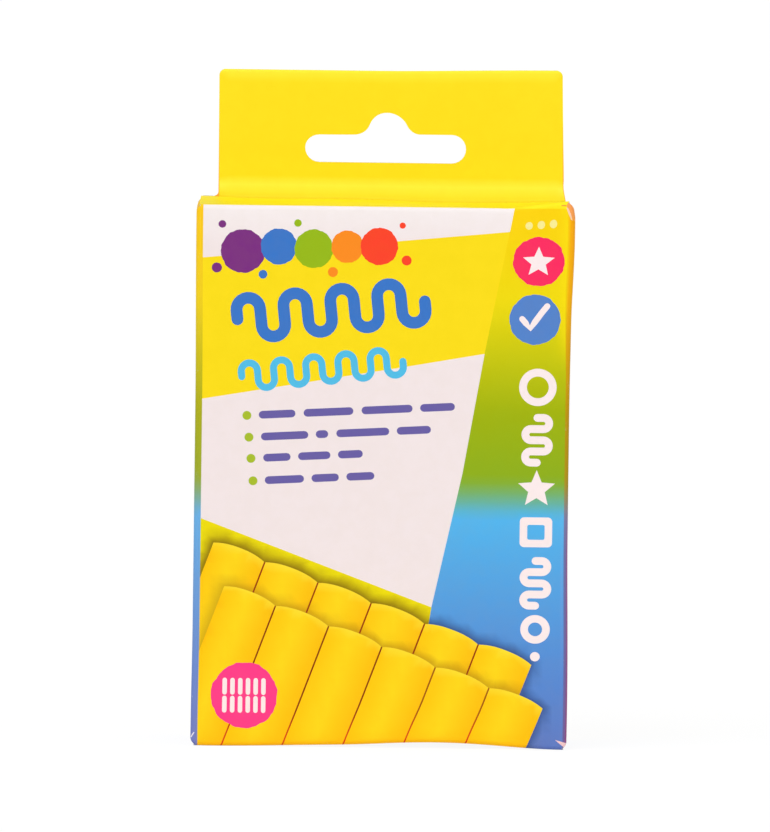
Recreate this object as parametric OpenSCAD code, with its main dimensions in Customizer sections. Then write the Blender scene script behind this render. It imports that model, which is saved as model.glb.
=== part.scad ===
// Hang tab carton of chalk sticks, in millimetres.
// The carton stands on its bottom flap, with its front panel towards -Y and its hang tab up.

/* [Chalk] */
// Diameter of a stick at its base
base_d = 9.5; // [8:0.1:12]
// How much thinner a stick is at its tip, across its diameter
tip_drop = 0.5; // [0.2:0.1:1.5]
// Length of a stick
stick_l = 82.5; // [60:0.5:120]
// Radius of the rounded edge at a stick's tip
tip_round = 0.9; // [0.3:0.1:2]
// Width of the small bevel at a stick's base
base_bevel = 0.3; // [0.1:0.1:1]
// Sticks side by side in a row
columns = 6; // [4:1:8]
// Rows of sticks from front to back
rows = 2; // [1:1:3]

/* [Fit inside the carton] */
// Space between neighbouring sticks
stick_gap = 0.2; // [0.1:0.05:0.6]
// Space between the outer sticks and the side walls
side_gap = 0.4; // [0.2:0.1:1.5]
// Space between a row and the board or row before it
row_gap = 0.1; // [0.1:0.05:0.5]
// Free height above the sticks
headroom = 2.8; // [1:0.1:6]

/* [Board] */
// Thickness of the board
board = 0.4; // [0.3:0.05:0.6]
// Outer radius of the upright folds and of the dust flap folds
fold_r = 0.8; // [0.7:0.05:1.2]
// Outer radius of the fold between a closing flap and its tongue
tongue_fold_r = 0.6; // [0.6:0.05:1]
// Running clearance along a hinged fold and between layers
crease_gap = 0.05; // [0.03:0.01:0.1]

/* [Glue seam] */
// Width of the glue lap inside the right-hand panel
lap_w = 11; // [6:0.5:14]
// How far the lap's ends stop short of the carton's ends
lap_end = 2; // [1.5:0.5:5]
// Slant of the lap's ends, as a height
lap_slant = 4; // [1:0.5:8]
// How far the right-hand panel's raw edge stops short of the back
seam_inset = 0.4; // [0.1:0.1:1]

/* [Hang tab] */
// Height of the hang tab above the carton
tab_h = 20.75; // [17:0.25:35]
// How far the tab is set in from the back panel's left end
tab_left_inset = 2.3; // [0.3:0.1:7]
// How far the tab is set in from the back panel's right end
tab_right_inset = 0.3; // [0.3:0.1:7]
// Radius of the tab's top corners
tab_corner_r = 1; // [0.5:0.25:5]
// Radius of the fillets where the tab meets the shoulders
tab_root_r = 0.8; // [0.3:0.1:1.2]

/* [Hanging slot] */
// Length of the slot from end to end
slot_l = 25.9; // [18:0.1:32]
// Height of the slot's straight part
slot_h = 4.6; // [4:0.1:6]
// Height of the slot's middle line above the carton
slot_z = 8.25; // [6:0.25:9]
// Radius of the round hump over the slot
hump_r = 3.3; // [2.8:0.05:4.2]
// How far the hump's centre lies above the slot's middle line
hump_rise = 2.45; // [2:0.05:2.8]
// Radius of the fillets at the foot of the hump
hump_fillet = 2.5; // [1.2:0.1:3]

/* [Closing flaps] */
// Length of a tuck tongue from its fold's outer face
tongue_l = 7; // [5:0.25:9]
// Radius of a tongue's free corners
tongue_corner_r = 3; // [1:0.25:4]
// Taper of a tongue at each of its sides
tongue_taper = 1; // [0.5:0.25:2]
// Length of a tongue's straight sides, before they taper
tongue_side = 1.4; // [1:0.1:2]
// How much a tongue is cut back at each end of its fold
tongue_shoulder = 1.4; // [1:0.1:2.5]
// Space between a tongue's fold and the board behind it
tuck_gap = 0.2; // [0.15:0.05:0.4]
// How far a closing flap stops short of the carton's sides
flap_side_gap = 0.5; // [0.2:0.1:1]

/* [Dust flaps] */
// Distance between the free ends of two facing dust flaps
dust_apart = 21; // [6:0.5:30]
// Slant of a dust flap's front edge
dust_slant = 2; // [0.5:0.25:4]
// Radius of a dust flap's free corners
dust_corner_r = 2.5; // [1:0.25:5]
// Space between a dust flap and the tongue beside it
dust_gap = 0.4; // [0.3:0.1:1]

/* [Hidden] */
$fn = 64;
STICKS = columns * rows;
function stick_name(i) = str("chalk_stick_", i < 9 ? "0" : "", i + 1);

// The chalk block and the carton around it
tip_d = base_d - tip_drop;
pitch = base_d + stick_gap;
block_w = columns * pitch - stick_gap;
block_d = rows * (base_d + row_gap);
// Room behind the chalk for the leaning tongues
tongue_swing = pow(tongue_l, 2) / (2 * block_d);
tab_layer_step = max(0, board - tip_drop / 2);
tuck_room = tuck_gap + board + tongue_swing + row_gap + tab_layer_step;
carton_w = 3 * board + block_w + 2 * side_gap;
carton_d = 2 * board + block_d + tuck_room;
low_floor = board;
high_floor = 2 * board + crease_gap;
carton_h = high_floor + stick_l + headroom + high_floor;

front_y = -carton_d / 2;
back_y = carton_d / 2;
side_x = carton_w / 2;
hinge_y = front_y + board / 2;
// Heights where the side panels start to bend into the dust flaps
bend_low = board + crease_gap + fold_r;
bend_high = carton_h - bend_low;
// Ends of the back panel's flat, and the hang tab's sides between them
back_left = -side_x + fold_r;
back_right = side_x - board - fold_r;
tab_left = back_left + tab_left_inset;
tab_right = back_right - tab_right_inset;

// Closing flaps, measured from their hinge line
lid_w = carton_w - 2 * flap_side_gap;
tongue_w = lid_w - 2 * tongue_shoulder;
lid_gate = carton_d - 2.5 * board;
bottom_gate = carton_d - 1.5 * board;
lid_reach = lid_gate - tuck_gap;
bottom_reach = bottom_gate - tuck_gap;
tongue_straight = tongue_l - tongue_fold_r;
swing_gap = 0.06;

// Distance from the hinge line to the outer edge of a tongue's tip
function tip_radius(reach, lean) =
    norm([
        reach - tongue_fold_r * (1 - cos(lean)) - tongue_straight * sin(lean),
        tongue_fold_r - board / 2 + tongue_fold_r * sin(lean) + tongue_straight * cos(lean)
    ]);

// Smallest lean, in half degrees, at which a tongue swings out past the board behind it
function smallest_lean(reach, gate, lean = 0) =
    tip_radius(reach, lean) <= gate - swing_gap ? lean : smallest_lean(reach, gate, lean + 0.5);

// Outline of straight edges with rounded corners: points run counterclockwise, one radius for each.
// A convex corner is filled with a circle, and a hollow one is cut with it.
function unit(v) = v / norm(v);
function turn(a, b, c) = cross(unit(b - a), unit(c - b));
function inset(a, b, c, r) = r * tan(acos(unit(b - a) * unit(c - b)) / 2);
function arc_centre(a, b, c, r) =
    let (back = unit(a - b), ahead = unit(c - b), d = inset(a, b, c, r))
    b + unit(back + ahead) * norm([d, r]);

module rounded_outline(points, radii) {
    n = len(points);
    function before(i) = points[(i + n - 1) % n];
    function after(i) = points[(i + 1) % n];
    difference() {
        union() {
            polygon([
                for (i = [0 : n - 1], end = [before(i), after(i)])
                    points[i] + unit(end - points[i])
                        * inset(before(i), points[i], after(i), radii[i])
            ]);
            for (i = [0 : n - 1])
                if (radii[i] > 0 && turn(before(i), points[i], after(i)) > 0)
                    translate(arc_centre(before(i), points[i], after(i), radii[i]))
                        circle(radii[i]);
        }
        for (i = [0 : n - 1])
            if (radii[i] > 0 && turn(before(i), points[i], after(i)) < 0)
                translate(arc_centre(before(i), points[i], after(i), radii[i]))
                    circle(radii[i]);
    }
}

// Section of a folded board: a ring of the board's thickness, from one angle to the other
module bend(outer_r, from, to) {
    mid = (from + to) / 2;
    far = 2 * outer_r;
    intersection() {
        difference() {
            circle(outer_r);
            circle(outer_r - board);
        }
        polygon([
            [0, 0],
            far * [cos(from), sin(from)],
            far * [cos(mid), sin(mid)],
            far * [cos(to), sin(to)]
        ]);
    }
}

// Stands a drawing up: its X stays X and its Y becomes height, and it is as thick as given towards -Y
module upright(thickness) {
    rotate([90, 0, 0]) linear_extrude(thickness) children();
}

// Pulls a drawing of depth (X) and height (Y) out along the carton's width, about its middle
module across(width) {
    rotate([90, 0, 90]) linear_extrude(width, center = true) children();
}

// The four panels and the upright folds, seen from above
module panel_section() {
    fold_x = side_x - fold_r;
    fold_y = back_y - fold_r;
    translate([-fold_x, front_y]) square([2 * fold_x, board]);
    translate([-fold_x, -fold_y]) bend(fold_r, 180, 270);
    translate([fold_x, -fold_y]) bend(fold_r, 270, 360);
    translate([-side_x, -fold_y]) square([board, 2 * fold_y]);
    translate([side_x - board, -fold_y]) square([board, fold_y + back_y - seam_inset]);
    translate([-fold_x, fold_y]) bend(fold_r, 90, 180);
}

// The glue lap, bent forward from the back panel and glued inside the right-hand panel
module glue_lap() {
    lap_x = side_x - board;
    root_y = back_y - fold_r;
    translate([lap_x - fold_r, root_y, lap_end])
        linear_extrude(carton_h - 2 * lap_end) bend(fold_r, 0, 90);
    translate([lap_x - board, 0, 0])
        rotate([90, 0, 90]) linear_extrude(board)
            polygon([
                [root_y, lap_end],
                [root_y, carton_h - lap_end],
                [root_y - lap_w, carton_h - lap_end - lap_slant],
                [root_y - lap_w, lap_end + lap_slant]
            ]);
}

// Outline of the hang tab alone, from the carton's top up
module tab_outline() {
    top = carton_h + tab_h;
    rounded_outline(
        [[tab_left, carton_h], [tab_right, carton_h], [tab_right, top], [tab_left, top]],
        [0, 0, tab_corner_r, tab_corner_r]
    );
}

// Outline of the back panel and the tab's rear layer, with filleted roots on the shoulders
module back_outline() {
    top = carton_h + tab_h;
    left_root_r = min(tab_root_r, tab_left_inset);
    right_root_r = min(tab_root_r, tab_right_inset);
    rounded_outline(
        [
            [back_left, 0], [back_right, 0], [back_right, carton_h], [tab_right, carton_h],
            [tab_right, top], [tab_left, top], [tab_left, carton_h], [back_left, carton_h]
        ],
        [0, 0, 0, right_root_r, tab_corner_r, tab_corner_r, left_root_r, 0]
    );
}

// The hanging slot: a long slot with a round hump over its middle and filleted feet
module slot_outline() {
    half = slot_h / 2;
    foot_y = half + hump_fillet - hump_rise;
    foot_x = sqrt(pow(hump_r + hump_fillet, 2) - pow(foot_y, 2));
    meet = [foot_x, foot_y] * hump_r / (hump_r + hump_fillet);
    translate([0, carton_h + slot_z]) {
        square([slot_l - slot_h, slot_h], center = true);
        for (side = [-1, 1]) translate([side * (slot_l - slot_h) / 2, 0]) circle(half);
        intersection() {
            translate([0, hump_rise]) circle(hump_r);
            translate([-hump_r, 0]) square([2 * hump_r, hump_rise + hump_r]);
        }
        for (side = [-1, 1])
            difference() {
                polygon([
                    [0, half - hump_fillet],
                    [side * foot_x, half - hump_fillet],
                    [side * foot_x, half],
                    [side * meet[0], meet[1] + hump_rise],
                    [0, meet[1] + hump_rise]
                ]);
                translate([side * foot_x, half + hump_fillet]) circle(hump_fillet);
            }
    }
}

// The back panel with the hang tab: the board runs up, over the tab's top and down its front
module back_and_tab() {
    top = carton_h + tab_h;
    difference() {
        union() {
            translate([0, back_y, 0]) intersection() {
                upright(board) back_outline();
                across(2 * carton_w) {
                    translate([-board, -board]) square([board, top]);
                    translate([-board, top - board]) circle(board);
                }
            }
            translate([0, back_y, 0]) intersection() {
                upright(2 * board) tab_outline();
                across(2 * carton_w) {
                    translate([-2 * board, 0]) square([2 * board, top - board]);
                    translate([-board, top - board]) circle(board);
                }
            }
        }
        translate([0, back_y + board, 0]) upright(4 * board) slot_outline();
    }
}

// A dust flap of the left-hand panel, seen from above, up to where its fold begins
module dust_outline() {
    root_x = -side_x + fold_r;
    front = front_y + fold_r;
    back = hinge_y + lid_reach - 2 * board - dust_gap;
    notch_x = -tongue_w / 2 - dust_gap;
    shoulder = back_y - fold_r;
    rounded_outline(
        [
            [root_x, front],
            [-dust_apart / 2, front + dust_slant],
            [-dust_apart / 2, back],
            [notch_x, back],
            [notch_x, shoulder],
            [root_x, shoulder]
        ],
        [0, dust_corner_r, dust_corner_r, 0, 0, 0]
    );
}

// The top left dust flap with its fold
module dust_flap() {
    height = bend_high + fold_r - board;
    translate([0, 0, height]) linear_extrude(board) dust_outline();
    translate([-side_x + fold_r, 0, bend_high])
        rotate([90, 0, 0]) linear_extrude(carton_d - 2 * fold_r, center = true)
            bend(fold_r, 90, 180);
}

module dust_flaps() {
    for (side = [0, 1], end = [0, 1])
        mirror([side, 0, 0]) translate([0, 0, end * carton_h]) mirror([0, 0, end]) dust_flap();
}

module carton() {
    color("gold") union() {
        translate([0, 0, bend_low]) linear_extrude(bend_high - bend_low) panel_section();
        translate([-side_x + fold_r, front_y, board + crease_gap])
            cube([carton_w - 2 * fold_r, board, carton_h - 2 * (board + crease_gap)]);
        back_and_tab();
        glue_lap();
        dust_flaps();
    }
}

// Section of a tongue with its fold, about the fold's centre: the plate's end is on the Y axis
module tongue_section(lean) {
    far = 2 * tongue_l;
    intersection() {
        difference() {
            circle(tongue_fold_r);
            circle(tongue_fold_r - board);
        }
        translate([0, -far]) square([far, 2 * far]);
        rotate(-lean) translate([-far, 0]) square([2 * far, far]);
    }
    rotate(-lean) translate([tongue_fold_r - board, -far]) square([board, far]);
}

// Outline of a tongue, from past its fold down to its rounded tip
module tongue_outline() {
    side_x = tongue_w / 2;
    tip_x = side_x - tongue_taper;
    rounded_outline(
        [
            [-tip_x, -tongue_straight], [tip_x, -tongue_straight],
            [side_x, -tongue_side], [side_x, tongue_l],
            [-side_x, tongue_l], [-side_x, -tongue_side]
        ],
        [tongue_corner_r, tongue_corner_r, 0, 0, 0, 0]
    );
}

// A closing flap with its hinge line at the origin: it lies towards +Y and its tongue hangs down
module closing_flap(reach, lean) {
    fold_y = reach - tongue_fold_r;
    across(lid_w) {
        circle(board / 2);
        translate([0, -board / 2]) square([fold_y, board]);
    }
    translate([0, fold_y, board / 2 - tongue_fold_r]) intersection() {
        across(lid_w) tongue_section(lean);
        rotate([-lean, 0, 0]) translate([0, tongue_l, 0]) upright(2 * tongue_l) tongue_outline();
    }
}

module lid() {
    color("yellow") translate([0, hinge_y, carton_h - board / 2])
        closing_flap(lid_reach, smallest_lean(lid_reach, lid_gate));
}

module bottom_flap() {
    color("orange") translate([0, hinge_y, board / 2]) mirror([0, 0, 1])
        closing_flap(bottom_reach, smallest_lean(bottom_reach, bottom_gate));
}

// Floor under a stick: the dust flaps where they reach under it, and the bottom flap between them
function stick_floor(x) = abs(x) + base_d / 2 > dust_apart / 2 ? high_floor : low_floor;

module chalk_stick(i) {
    x = (i % columns - (columns - 1) / 2) * pitch - board / 2;
    y = front_y + board + row_gap + base_d / 2 + floor(i / columns) * (base_d + row_gap);
    base_r = base_d / 2;
    tip_r = tip_d / 2;
    color("khaki") translate([x, y, stick_floor(x)]) rotate_extrude() {
        polygon([
            [0, 0], [base_r - base_bevel, 0], [base_r, base_bevel],
            [tip_r, stick_l - tip_round], [tip_r - tip_round, stick_l], [0, stick_l]
        ]);
        intersection() {
            translate([tip_r - tip_round, stick_l - tip_round]) circle(tip_round);
            translate([0, stick_l - tip_round]) square([tip_r, tip_round]);
        }
    }
}

carton();
lid();
bottom_flap();
for (i = [0 : STICKS - 1])
    chalk_stick(i);
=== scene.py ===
"""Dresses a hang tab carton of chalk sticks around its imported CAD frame.

The carton is cut from one flat blank. Its X runs along the wrapped panels, with the front
panel in the middle, and its Z runs up the panels, over the lid and over the hang tab. Every
board piece is an outline on that blank, folded up. Drawing sizes are in millimetres.
"""

import math

import bmesh
import bpy
import numpy as np
from bpy.props import FloatProperty, FloatVectorProperty, IntProperty, PointerProperty
from mathutils import Matrix, Vector
from mathutils.geometry import delaunay_2d_cdt


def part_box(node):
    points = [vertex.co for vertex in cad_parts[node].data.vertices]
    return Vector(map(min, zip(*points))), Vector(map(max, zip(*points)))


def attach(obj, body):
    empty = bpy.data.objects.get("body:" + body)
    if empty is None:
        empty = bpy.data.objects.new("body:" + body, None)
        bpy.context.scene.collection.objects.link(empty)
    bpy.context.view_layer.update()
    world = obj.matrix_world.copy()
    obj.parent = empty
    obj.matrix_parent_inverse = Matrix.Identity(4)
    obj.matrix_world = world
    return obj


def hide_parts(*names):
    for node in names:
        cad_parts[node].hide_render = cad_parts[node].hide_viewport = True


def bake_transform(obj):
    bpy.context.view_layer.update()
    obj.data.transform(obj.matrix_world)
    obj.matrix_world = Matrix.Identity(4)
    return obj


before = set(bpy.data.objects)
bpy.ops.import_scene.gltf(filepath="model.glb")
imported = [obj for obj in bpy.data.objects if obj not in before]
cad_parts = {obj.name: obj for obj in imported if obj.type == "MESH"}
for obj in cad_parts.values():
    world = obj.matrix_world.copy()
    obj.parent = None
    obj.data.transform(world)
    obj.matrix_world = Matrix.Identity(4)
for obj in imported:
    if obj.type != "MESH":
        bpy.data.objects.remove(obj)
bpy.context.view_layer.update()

bl_info = {
    "name": "Chalk carton",
    "version": (1, 0, 0),
    "blender": (4, 5, 0),
    "location": "View3D > Sidebar > Chalk carton",
    "description": "Builds a printed hang tab carton and its chalk sticks",
    "category": "Object",
}

MM = 0.001
QUARTER = math.pi / 2

# ---------------------------------------------------------------------------
# Sizes read from the frame, in millimetres


def node_box(node):
    """The lowest and highest corners of a CAD node, in millimetres."""
    low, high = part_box(node)
    return low / MM, high / MM


CARTON_LOW, CARTON_HIGH = node_box("carton")
LID_LOW, LID_HIGH = node_box("lid")
FLAP_HIGH = node_box("bottom_flap")[1]
STICKS = [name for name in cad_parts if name.startswith("chalk_stick")]

SIDE_X = CARTON_HIGH.x
FRONT_Y = CARTON_LOW.y
BACK_Y = CARTON_HIGH.y
TOP = LID_HIGH.z
TAB_TOP = CARTON_HIGH.z


# ---------------------------------------------------------------------------
# Settings a user would change


class BoardSettings(bpy.types.PropertyGroup):
    """Thickness, mesh and finish of the folded board."""

    thickness: FloatProperty(
        name="Board", description="Thickness of the board", default=0.39 * MM, unit="LENGTH"
    )
    mesh_step: FloatProperty(
        name="Mesh step", description="Spacing of the mesh on the flat panels",
        default=1.5 * MM, unit="LENGTH",
    )
    wear: FloatProperty(
        name="Fold wear", description="How much the ink is rubbed off along the folds",
        default=0.35, min=0, max=1, subtype="FACTOR",
    )
    board_white: FloatVectorProperty(
        name="Raw board", description="Colour of the unprinted inside of the board",
        default=(0.60, 0.575, 0.53), subtype="COLOR",
    )
    edge_white: FloatVectorProperty(
        name="Cut edge", description="Colour of the board's cut edges",
        default=(0.78, 0.74, 0.67), subtype="COLOR",
    )


class ChalkSettings(bpy.types.PropertyGroup):
    """Form and finish of the chalk sticks."""

    taper: FloatProperty(
        name="Taper", description="How much thinner a stick is at its tip",
        default=0.5 * MM, unit="LENGTH",
    )
    tip_r: FloatProperty(
        name="Tip edge", description="Radius of the rounded edge at the tip",
        default=0.9 * MM, unit="LENGTH",
    )
    bevel: FloatProperty(
        name="Base edge", description="Bevel of the edge at the base",
        default=0.3 * MM, unit="LENGTH",
    )
    roughness: FloatProperty(
        name="Unevenness", description="Depth of the casting's unevenness",
        default=0.05 * MM, unit="LENGTH",
    )
    seed: IntProperty(name="Seed", description="Seed of the sticks' turns", default=12)
    colour: FloatVectorProperty(
        name="Chalk", description="Colour of the chalk", default=(0.94, 0.78, 0.21),
        subtype="COLOR",
    )


class StageSettings(bpy.types.PropertyGroup):
    """Floor, lamps and camera."""

    distance: FloatProperty(
        name="Camera distance", description="From the camera to the carton", default=4.0,
        unit="LENGTH",
    )
    elevation: FloatProperty(
        name="Camera elevation", description="Height of the camera above the horizon",
        default=math.radians(3.55), subtype="ANGLE", unit="ROTATION",
    )
    azimuth: FloatProperty(
        name="Camera azimuth", description="Camera's turn round the carton",
        default=math.radians(0.0), subtype="ANGLE", unit="ROTATION",
    )
    roll: FloatProperty(
        name="Camera roll", description="How far the carton leans to the right in the render",
        default=math.radians(0.74), subtype="ANGLE", unit="ROTATION",
    )
    floor_colour: FloatVectorProperty(
        name="Floor", description="Colour of the floor", default=(0.93, 0.93, 0.93),
        subtype="COLOR",
    )


# ---------------------------------------------------------------------------
# The folds, as a walk across the board

# Distances and angles below this count as none
TOUCH = 1e-4


def walk(distance, bends):
    """Walks up a panel and round its bends: how far in, how far on, how far turned, how creased.

    Each bend is (straight stretch before it, outer radius, angle).
    """
    inward = onward = turn = 0.0
    for straight, radius, angle in bends:
        step = min(distance, straight)
        inward += step * math.sin(turn)
        onward += step * math.cos(turn)
        distance -= step
        if distance <= TOUCH:
            return inward, onward, turn, 0.0
        bent = min(distance / radius, angle)
        if angle - bent < TOUCH:
            bent = angle
        inward += radius * (math.cos(turn) - math.cos(turn + bent))
        onward += radius * (math.sin(turn + bent) - math.sin(turn))
        turn += bent
        distance -= bent * radius
        if distance <= TOUCH:
            return inward, onward, turn, round(math.sin(math.pi * bent / angle), 6)
    return inward + distance * math.sin(turn), onward + distance * math.cos(turn), turn, 0.0


# The board, and the outer radii of its folds
BOARD = 0.4
UPRIGHT_R = 0.8
HINGE_R = 0.65
TONGUE_R = 0.6
TAB_R = BOARD
# How far a tucked tongue leans forward
LEAN = math.radians(9)
# Lengths on the blank of the folds and of the flat stretches between them
FRONT_HALF = SIDE_X - UPRIGHT_R
FOLD_L = UPRIGHT_R * QUARTER
HINGE_L = HINGE_R * QUARTER
TONGUE_FOLD_L = TONGUE_R * (QUARTER + LEAN)
SIDE_L = BACK_Y - FRONT_Y - 2 * UPRIGHT_R
BACK_L = 2 * SIDE_X - 2 * UPRIGHT_R - BOARD
# How far the right panel's raw edge stays from the back
SEAM_INSET = 0.4
# Heights on the blank where its flaps start to bend
LID_CREASE = TOP - HINGE_R
FLAP_CREASE = HINGE_R
DUST_HIGH = TOP - BOARD - 0.05 - UPRIGHT_R
DUST_LOW = TOP - DUST_HIGH
TAB_CREASE = TAB_TOP - TAB_R
# Where the tongues' folds start, from the front panel back
LID_RUN = LID_HIGH.y - TONGUE_R - FRONT_Y - HINGE_R
FLAP_RUN = FLAP_HIGH.y - TONGUE_R - FRONT_Y - HINGE_R

LEFT_BENDS = ((0, UPRIGHT_R, QUARTER), (SIDE_L, UPRIGHT_R, QUARTER), (BACK_L, UPRIGHT_R, QUARTER))
RIGHT_BENDS = ((0, UPRIGHT_R, QUARTER),)
LID_BENDS = ((0, HINGE_R, QUARTER), (LID_RUN, TONGUE_R, QUARTER + LEAN))
FLAP_BENDS = ((0, HINGE_R, QUARTER), (FLAP_RUN, TONGUE_R, QUARTER + LEAN))
TAB_BENDS = ((0, TAB_R, math.pi),)


def fold_over(z, low, low_bends, high, high_bends):
    """Folds one strip of a panel: how far in, how high, its lean and sign, and how creased."""
    if z > high:
        inward, rise, lean, crease = walk(z - high, high_bends)
        return inward, high + rise, lean, crease
    if z < low:
        inward, drop, lean, crease = walk(low - z, low_bends)
        return inward, low - drop, -lean, crease
    return 0.0, z, 0.0, 0.0


def front_place(x, z):
    """Place and outward direction of a point of the front panel, the lid or the bottom flap."""
    inward, height, lean, crease = fold_over(z, FLAP_CREASE, FLAP_BENDS, LID_CREASE, LID_BENDS)
    out = Vector((0, -math.cos(lean), math.sin(lean)))
    return Vector((x, FRONT_Y + inward, height)), out, crease


def wrap_place(x, z):
    """Place and outward direction of a point of the side panels, the back, the lap or the tab."""
    side = 1 if x > 0 else -1
    bends = RIGHT_BENDS if x > 0 else LEFT_BENDS
    inward, ahead, turn, crease = walk(abs(x) - FRONT_HALF, bends)
    out = Vector((side * math.sin(turn), -math.cos(turn), 0))
    base = Vector((side * (FRONT_HALF + ahead), FRONT_Y + inward, 0))
    over, height, lean, fold = 0.0, z, 0.0, 0.0
    share = turn / QUARTER
    if share <= 1:
        # The upright fold closes the corner between the front's crease and the dust flap's
        high = LID_CREASE + (DUST_HIGH - LID_CREASE) * share
        dust_bends = ((0, HINGE_R + (UPRIGHT_R - HINGE_R) * share, QUARTER),)
        over, height, lean, fold = fold_over(z, TOP - high, dust_bends, high, dust_bends)
    elif share == 2:
        over, height, lean, fold = fold_over(z, -TOP, (), TAB_CREASE, TAB_BENDS)
    up = Vector((0, 0, 1))
    place = base - out * over + up * height
    return place, out * math.cos(lean) + up * math.sin(lean), max(crease, fold)


# The board has settled a little: (middle, reach, shift) of each soft dent or bulge
DENTS = (
    # The lid's right-hand front corner is pinched up, and its rear sags beside the tab
    ((32, FRONT_Y, 87), (13, 14, 6), (0, 0, 1.3)),
    ((12, 10, 87), (17, 12, 3), (0, 0, -0.35)),
    ((-30, 8, 87), (8, 12, 4), (0, 0, 0.35)),
    # The side panels bulge, and the right-hand one's top fold is rounded off
    ((SIDE_X, -4, 84), (9, 24, 16), (0.4, 0, 0)),
    ((SIDE_X, -4, 80), (9, 24, 28), (0.22, 0, 0)),
    ((SIDE_X, -4, 88), (9, 24, 3.5), (-0.6, 0, 0)),
    ((SIDE_X, -4, 8), (9, 24, 28), (0.32, 0, 0)),
    ((-SIDE_X, -4, 84), (9, 24, 30), (-0.22, 0, 0)),
    ((-SIDE_X, -4, 2), (9, 24, 18), (-0.15, 0, 0)),
    # The front panel rolls in below its top fold
    ((0, FRONT_Y, 88), (90, 6, 3.6), (0, 0.16, 0)),
    # The bottom fold arches up off the floor
    ((11, FRONT_Y, 0), (17, 32, 8), (0, 0, 0.5)),
    ((3, FRONT_Y, 0), (30, 32, 8), (0, 0, 0.5)),
    # The tab leans a little, bows forward at its foot and spreads there at the right
    ((-30, 10.6, 112), (32, 4, 26), (-0.15, 0, 0)),
    ((30, 10.6, 112), (32, 4, 20), (-0.3, 0, 0.45)),
    ((0, 10.66, 88), (90, 3, 6), (0, -0.3, 0)),
    ((28.3, 9.9, 86.8), (1.15, 2.5, 3.4), (0.6, 0, 0)),
    # The slot's edge is uneven
    ((-10, 10.66, 98.4), (13, 4, 3.4), (0, 0, -0.2)),
    ((0, 10.66, 98.3), (12, 5, 4.5), (0.45, 0, 0)),
)


def settle(place):
    """Moves a point by the board's dents and bulges."""
    moved = place.copy()
    for middle, reach, shift in DENTS:
        far = sum(((p - m) / r) ** 2 for p, m, r in zip(place, middle, reach))
        if far < 1:
            moved += Vector(shift) * (1 - far) ** 2
    return moved


# ---------------------------------------------------------------------------
# Outlines


def arc(centre, radius, start, end, steps):
    """Points of an arc, with its angles in degrees."""
    angles = [math.radians(start + (end - start) * i / steps) for i in range(steps + 1)]
    return [(centre[0] + radius * math.cos(a), centre[1] + radius * math.sin(a)) for a in angles]


CORNER_STEPS = 6


def rounded(corners):
    """An outline with rounded corners, from (x, z, radius) corners."""
    outline = []
    count = len(corners)
    for i, (x, z, radius) in enumerate(corners):
        if radius == 0:
            outline.append((x, z))
            continue
        corner = Vector((x, z))
        back = (Vector(corners[i - 1][:2]) - corner).normalized()
        ahead = (Vector(corners[(i + 1) % count][:2]) - corner).normalized()
        half = back.angle(ahead) / 2
        centre = corner + (back + ahead).normalized() * radius / math.sin(half)
        trim = radius / math.tan(half)
        first, last = (corner + way * trim - centre for way in (back, ahead))
        start = math.degrees(math.atan2(first.y, first.x))
        swing = (math.degrees(math.atan2(last.y, last.x)) - start + 180) % 360 - 180
        outline += arc(centre, radius, start, start + swing, CORNER_STEPS)
    return outline


def counterclockwise(loop, radius=None):
    """The loop, turned round if it runs clockwise, and with a radius for its corners if given."""
    area = sum(a[0] * b[1] - b[0] * a[1] for a, b in zip(loop, loop[1:] + loop[:1]))
    loop = loop if area > 0 else loop[::-1]
    return loop if radius is None else [(*point, radius) for point in loop]


def blank_x(panel, x=0.0, y=0.0):
    """X on the flat blank of a place on a folded panel."""
    if panel == "left":
        return -(FRONT_HALF + FOLD_L + y - FRONT_Y - UPRIGHT_R)
    if panel == "right":
        return FRONT_HALF + FOLD_L + y - FRONT_Y - UPRIGHT_R
    return -(FRONT_HALF + 2 * FOLD_L + SIDE_L + x + FRONT_HALF)


FOLD_STEPS = 8
# Grid lines keep this far from a fold, which has its own
FOLD_CLEAR = 0.2


def fold_lines(folds):
    """Lines across each fold on the blank, from (start, length)."""
    return [low + length * i / FOLD_STEPS for low, length in folds for i in range(FOLD_STEPS + 1)]


def ticks(start, end, step, folds):
    """Grid lines from start to end, except on the folds."""
    count = max(1, round((end - start) / step))
    lines = [start + (end - start) * i / count for i in range(count + 1)]
    return [
        line for line in lines
        if all(not low - FOLD_CLEAR < line < low + length + FOLD_CLEAR for low, length in folds)
    ]


def finely(loop, step):
    """A loop with its long sides divided into steps."""
    points = []
    for a, b in zip(loop, loop[1:] + loop[:1]):
        count = max(1, math.ceil((Vector(b) - Vector(a)).length / step))
        points += [tuple(Vector(a).lerp(Vector(b), i / count)) for i in range(count)]
    return points


# The tuck tongue: how much narrower than its flap it is, its flat length, the stretch of its sides
# that is upright, how far they taper in and its corners' radius
TONGUE_INSET = 1.4
TONGUE_L = 6.4
TONGUE_SIDE = 1.4
TONGUE_TAPER = 1.0
TONGUE_CORNER_R = 3.0
TONGUE_HALF = (LID_HIGH.x - LID_LOW.x) / 2 - TONGUE_INSET
# How far before the tongue's fold the flap's sides start to run in
SHOULDER = 0.6
# Where the front panel ends and the strips that belong to the lid and the bottom flap start
STRIP_LOW = 1.0
STRIP_HIGH = TOP - 1.0


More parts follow.
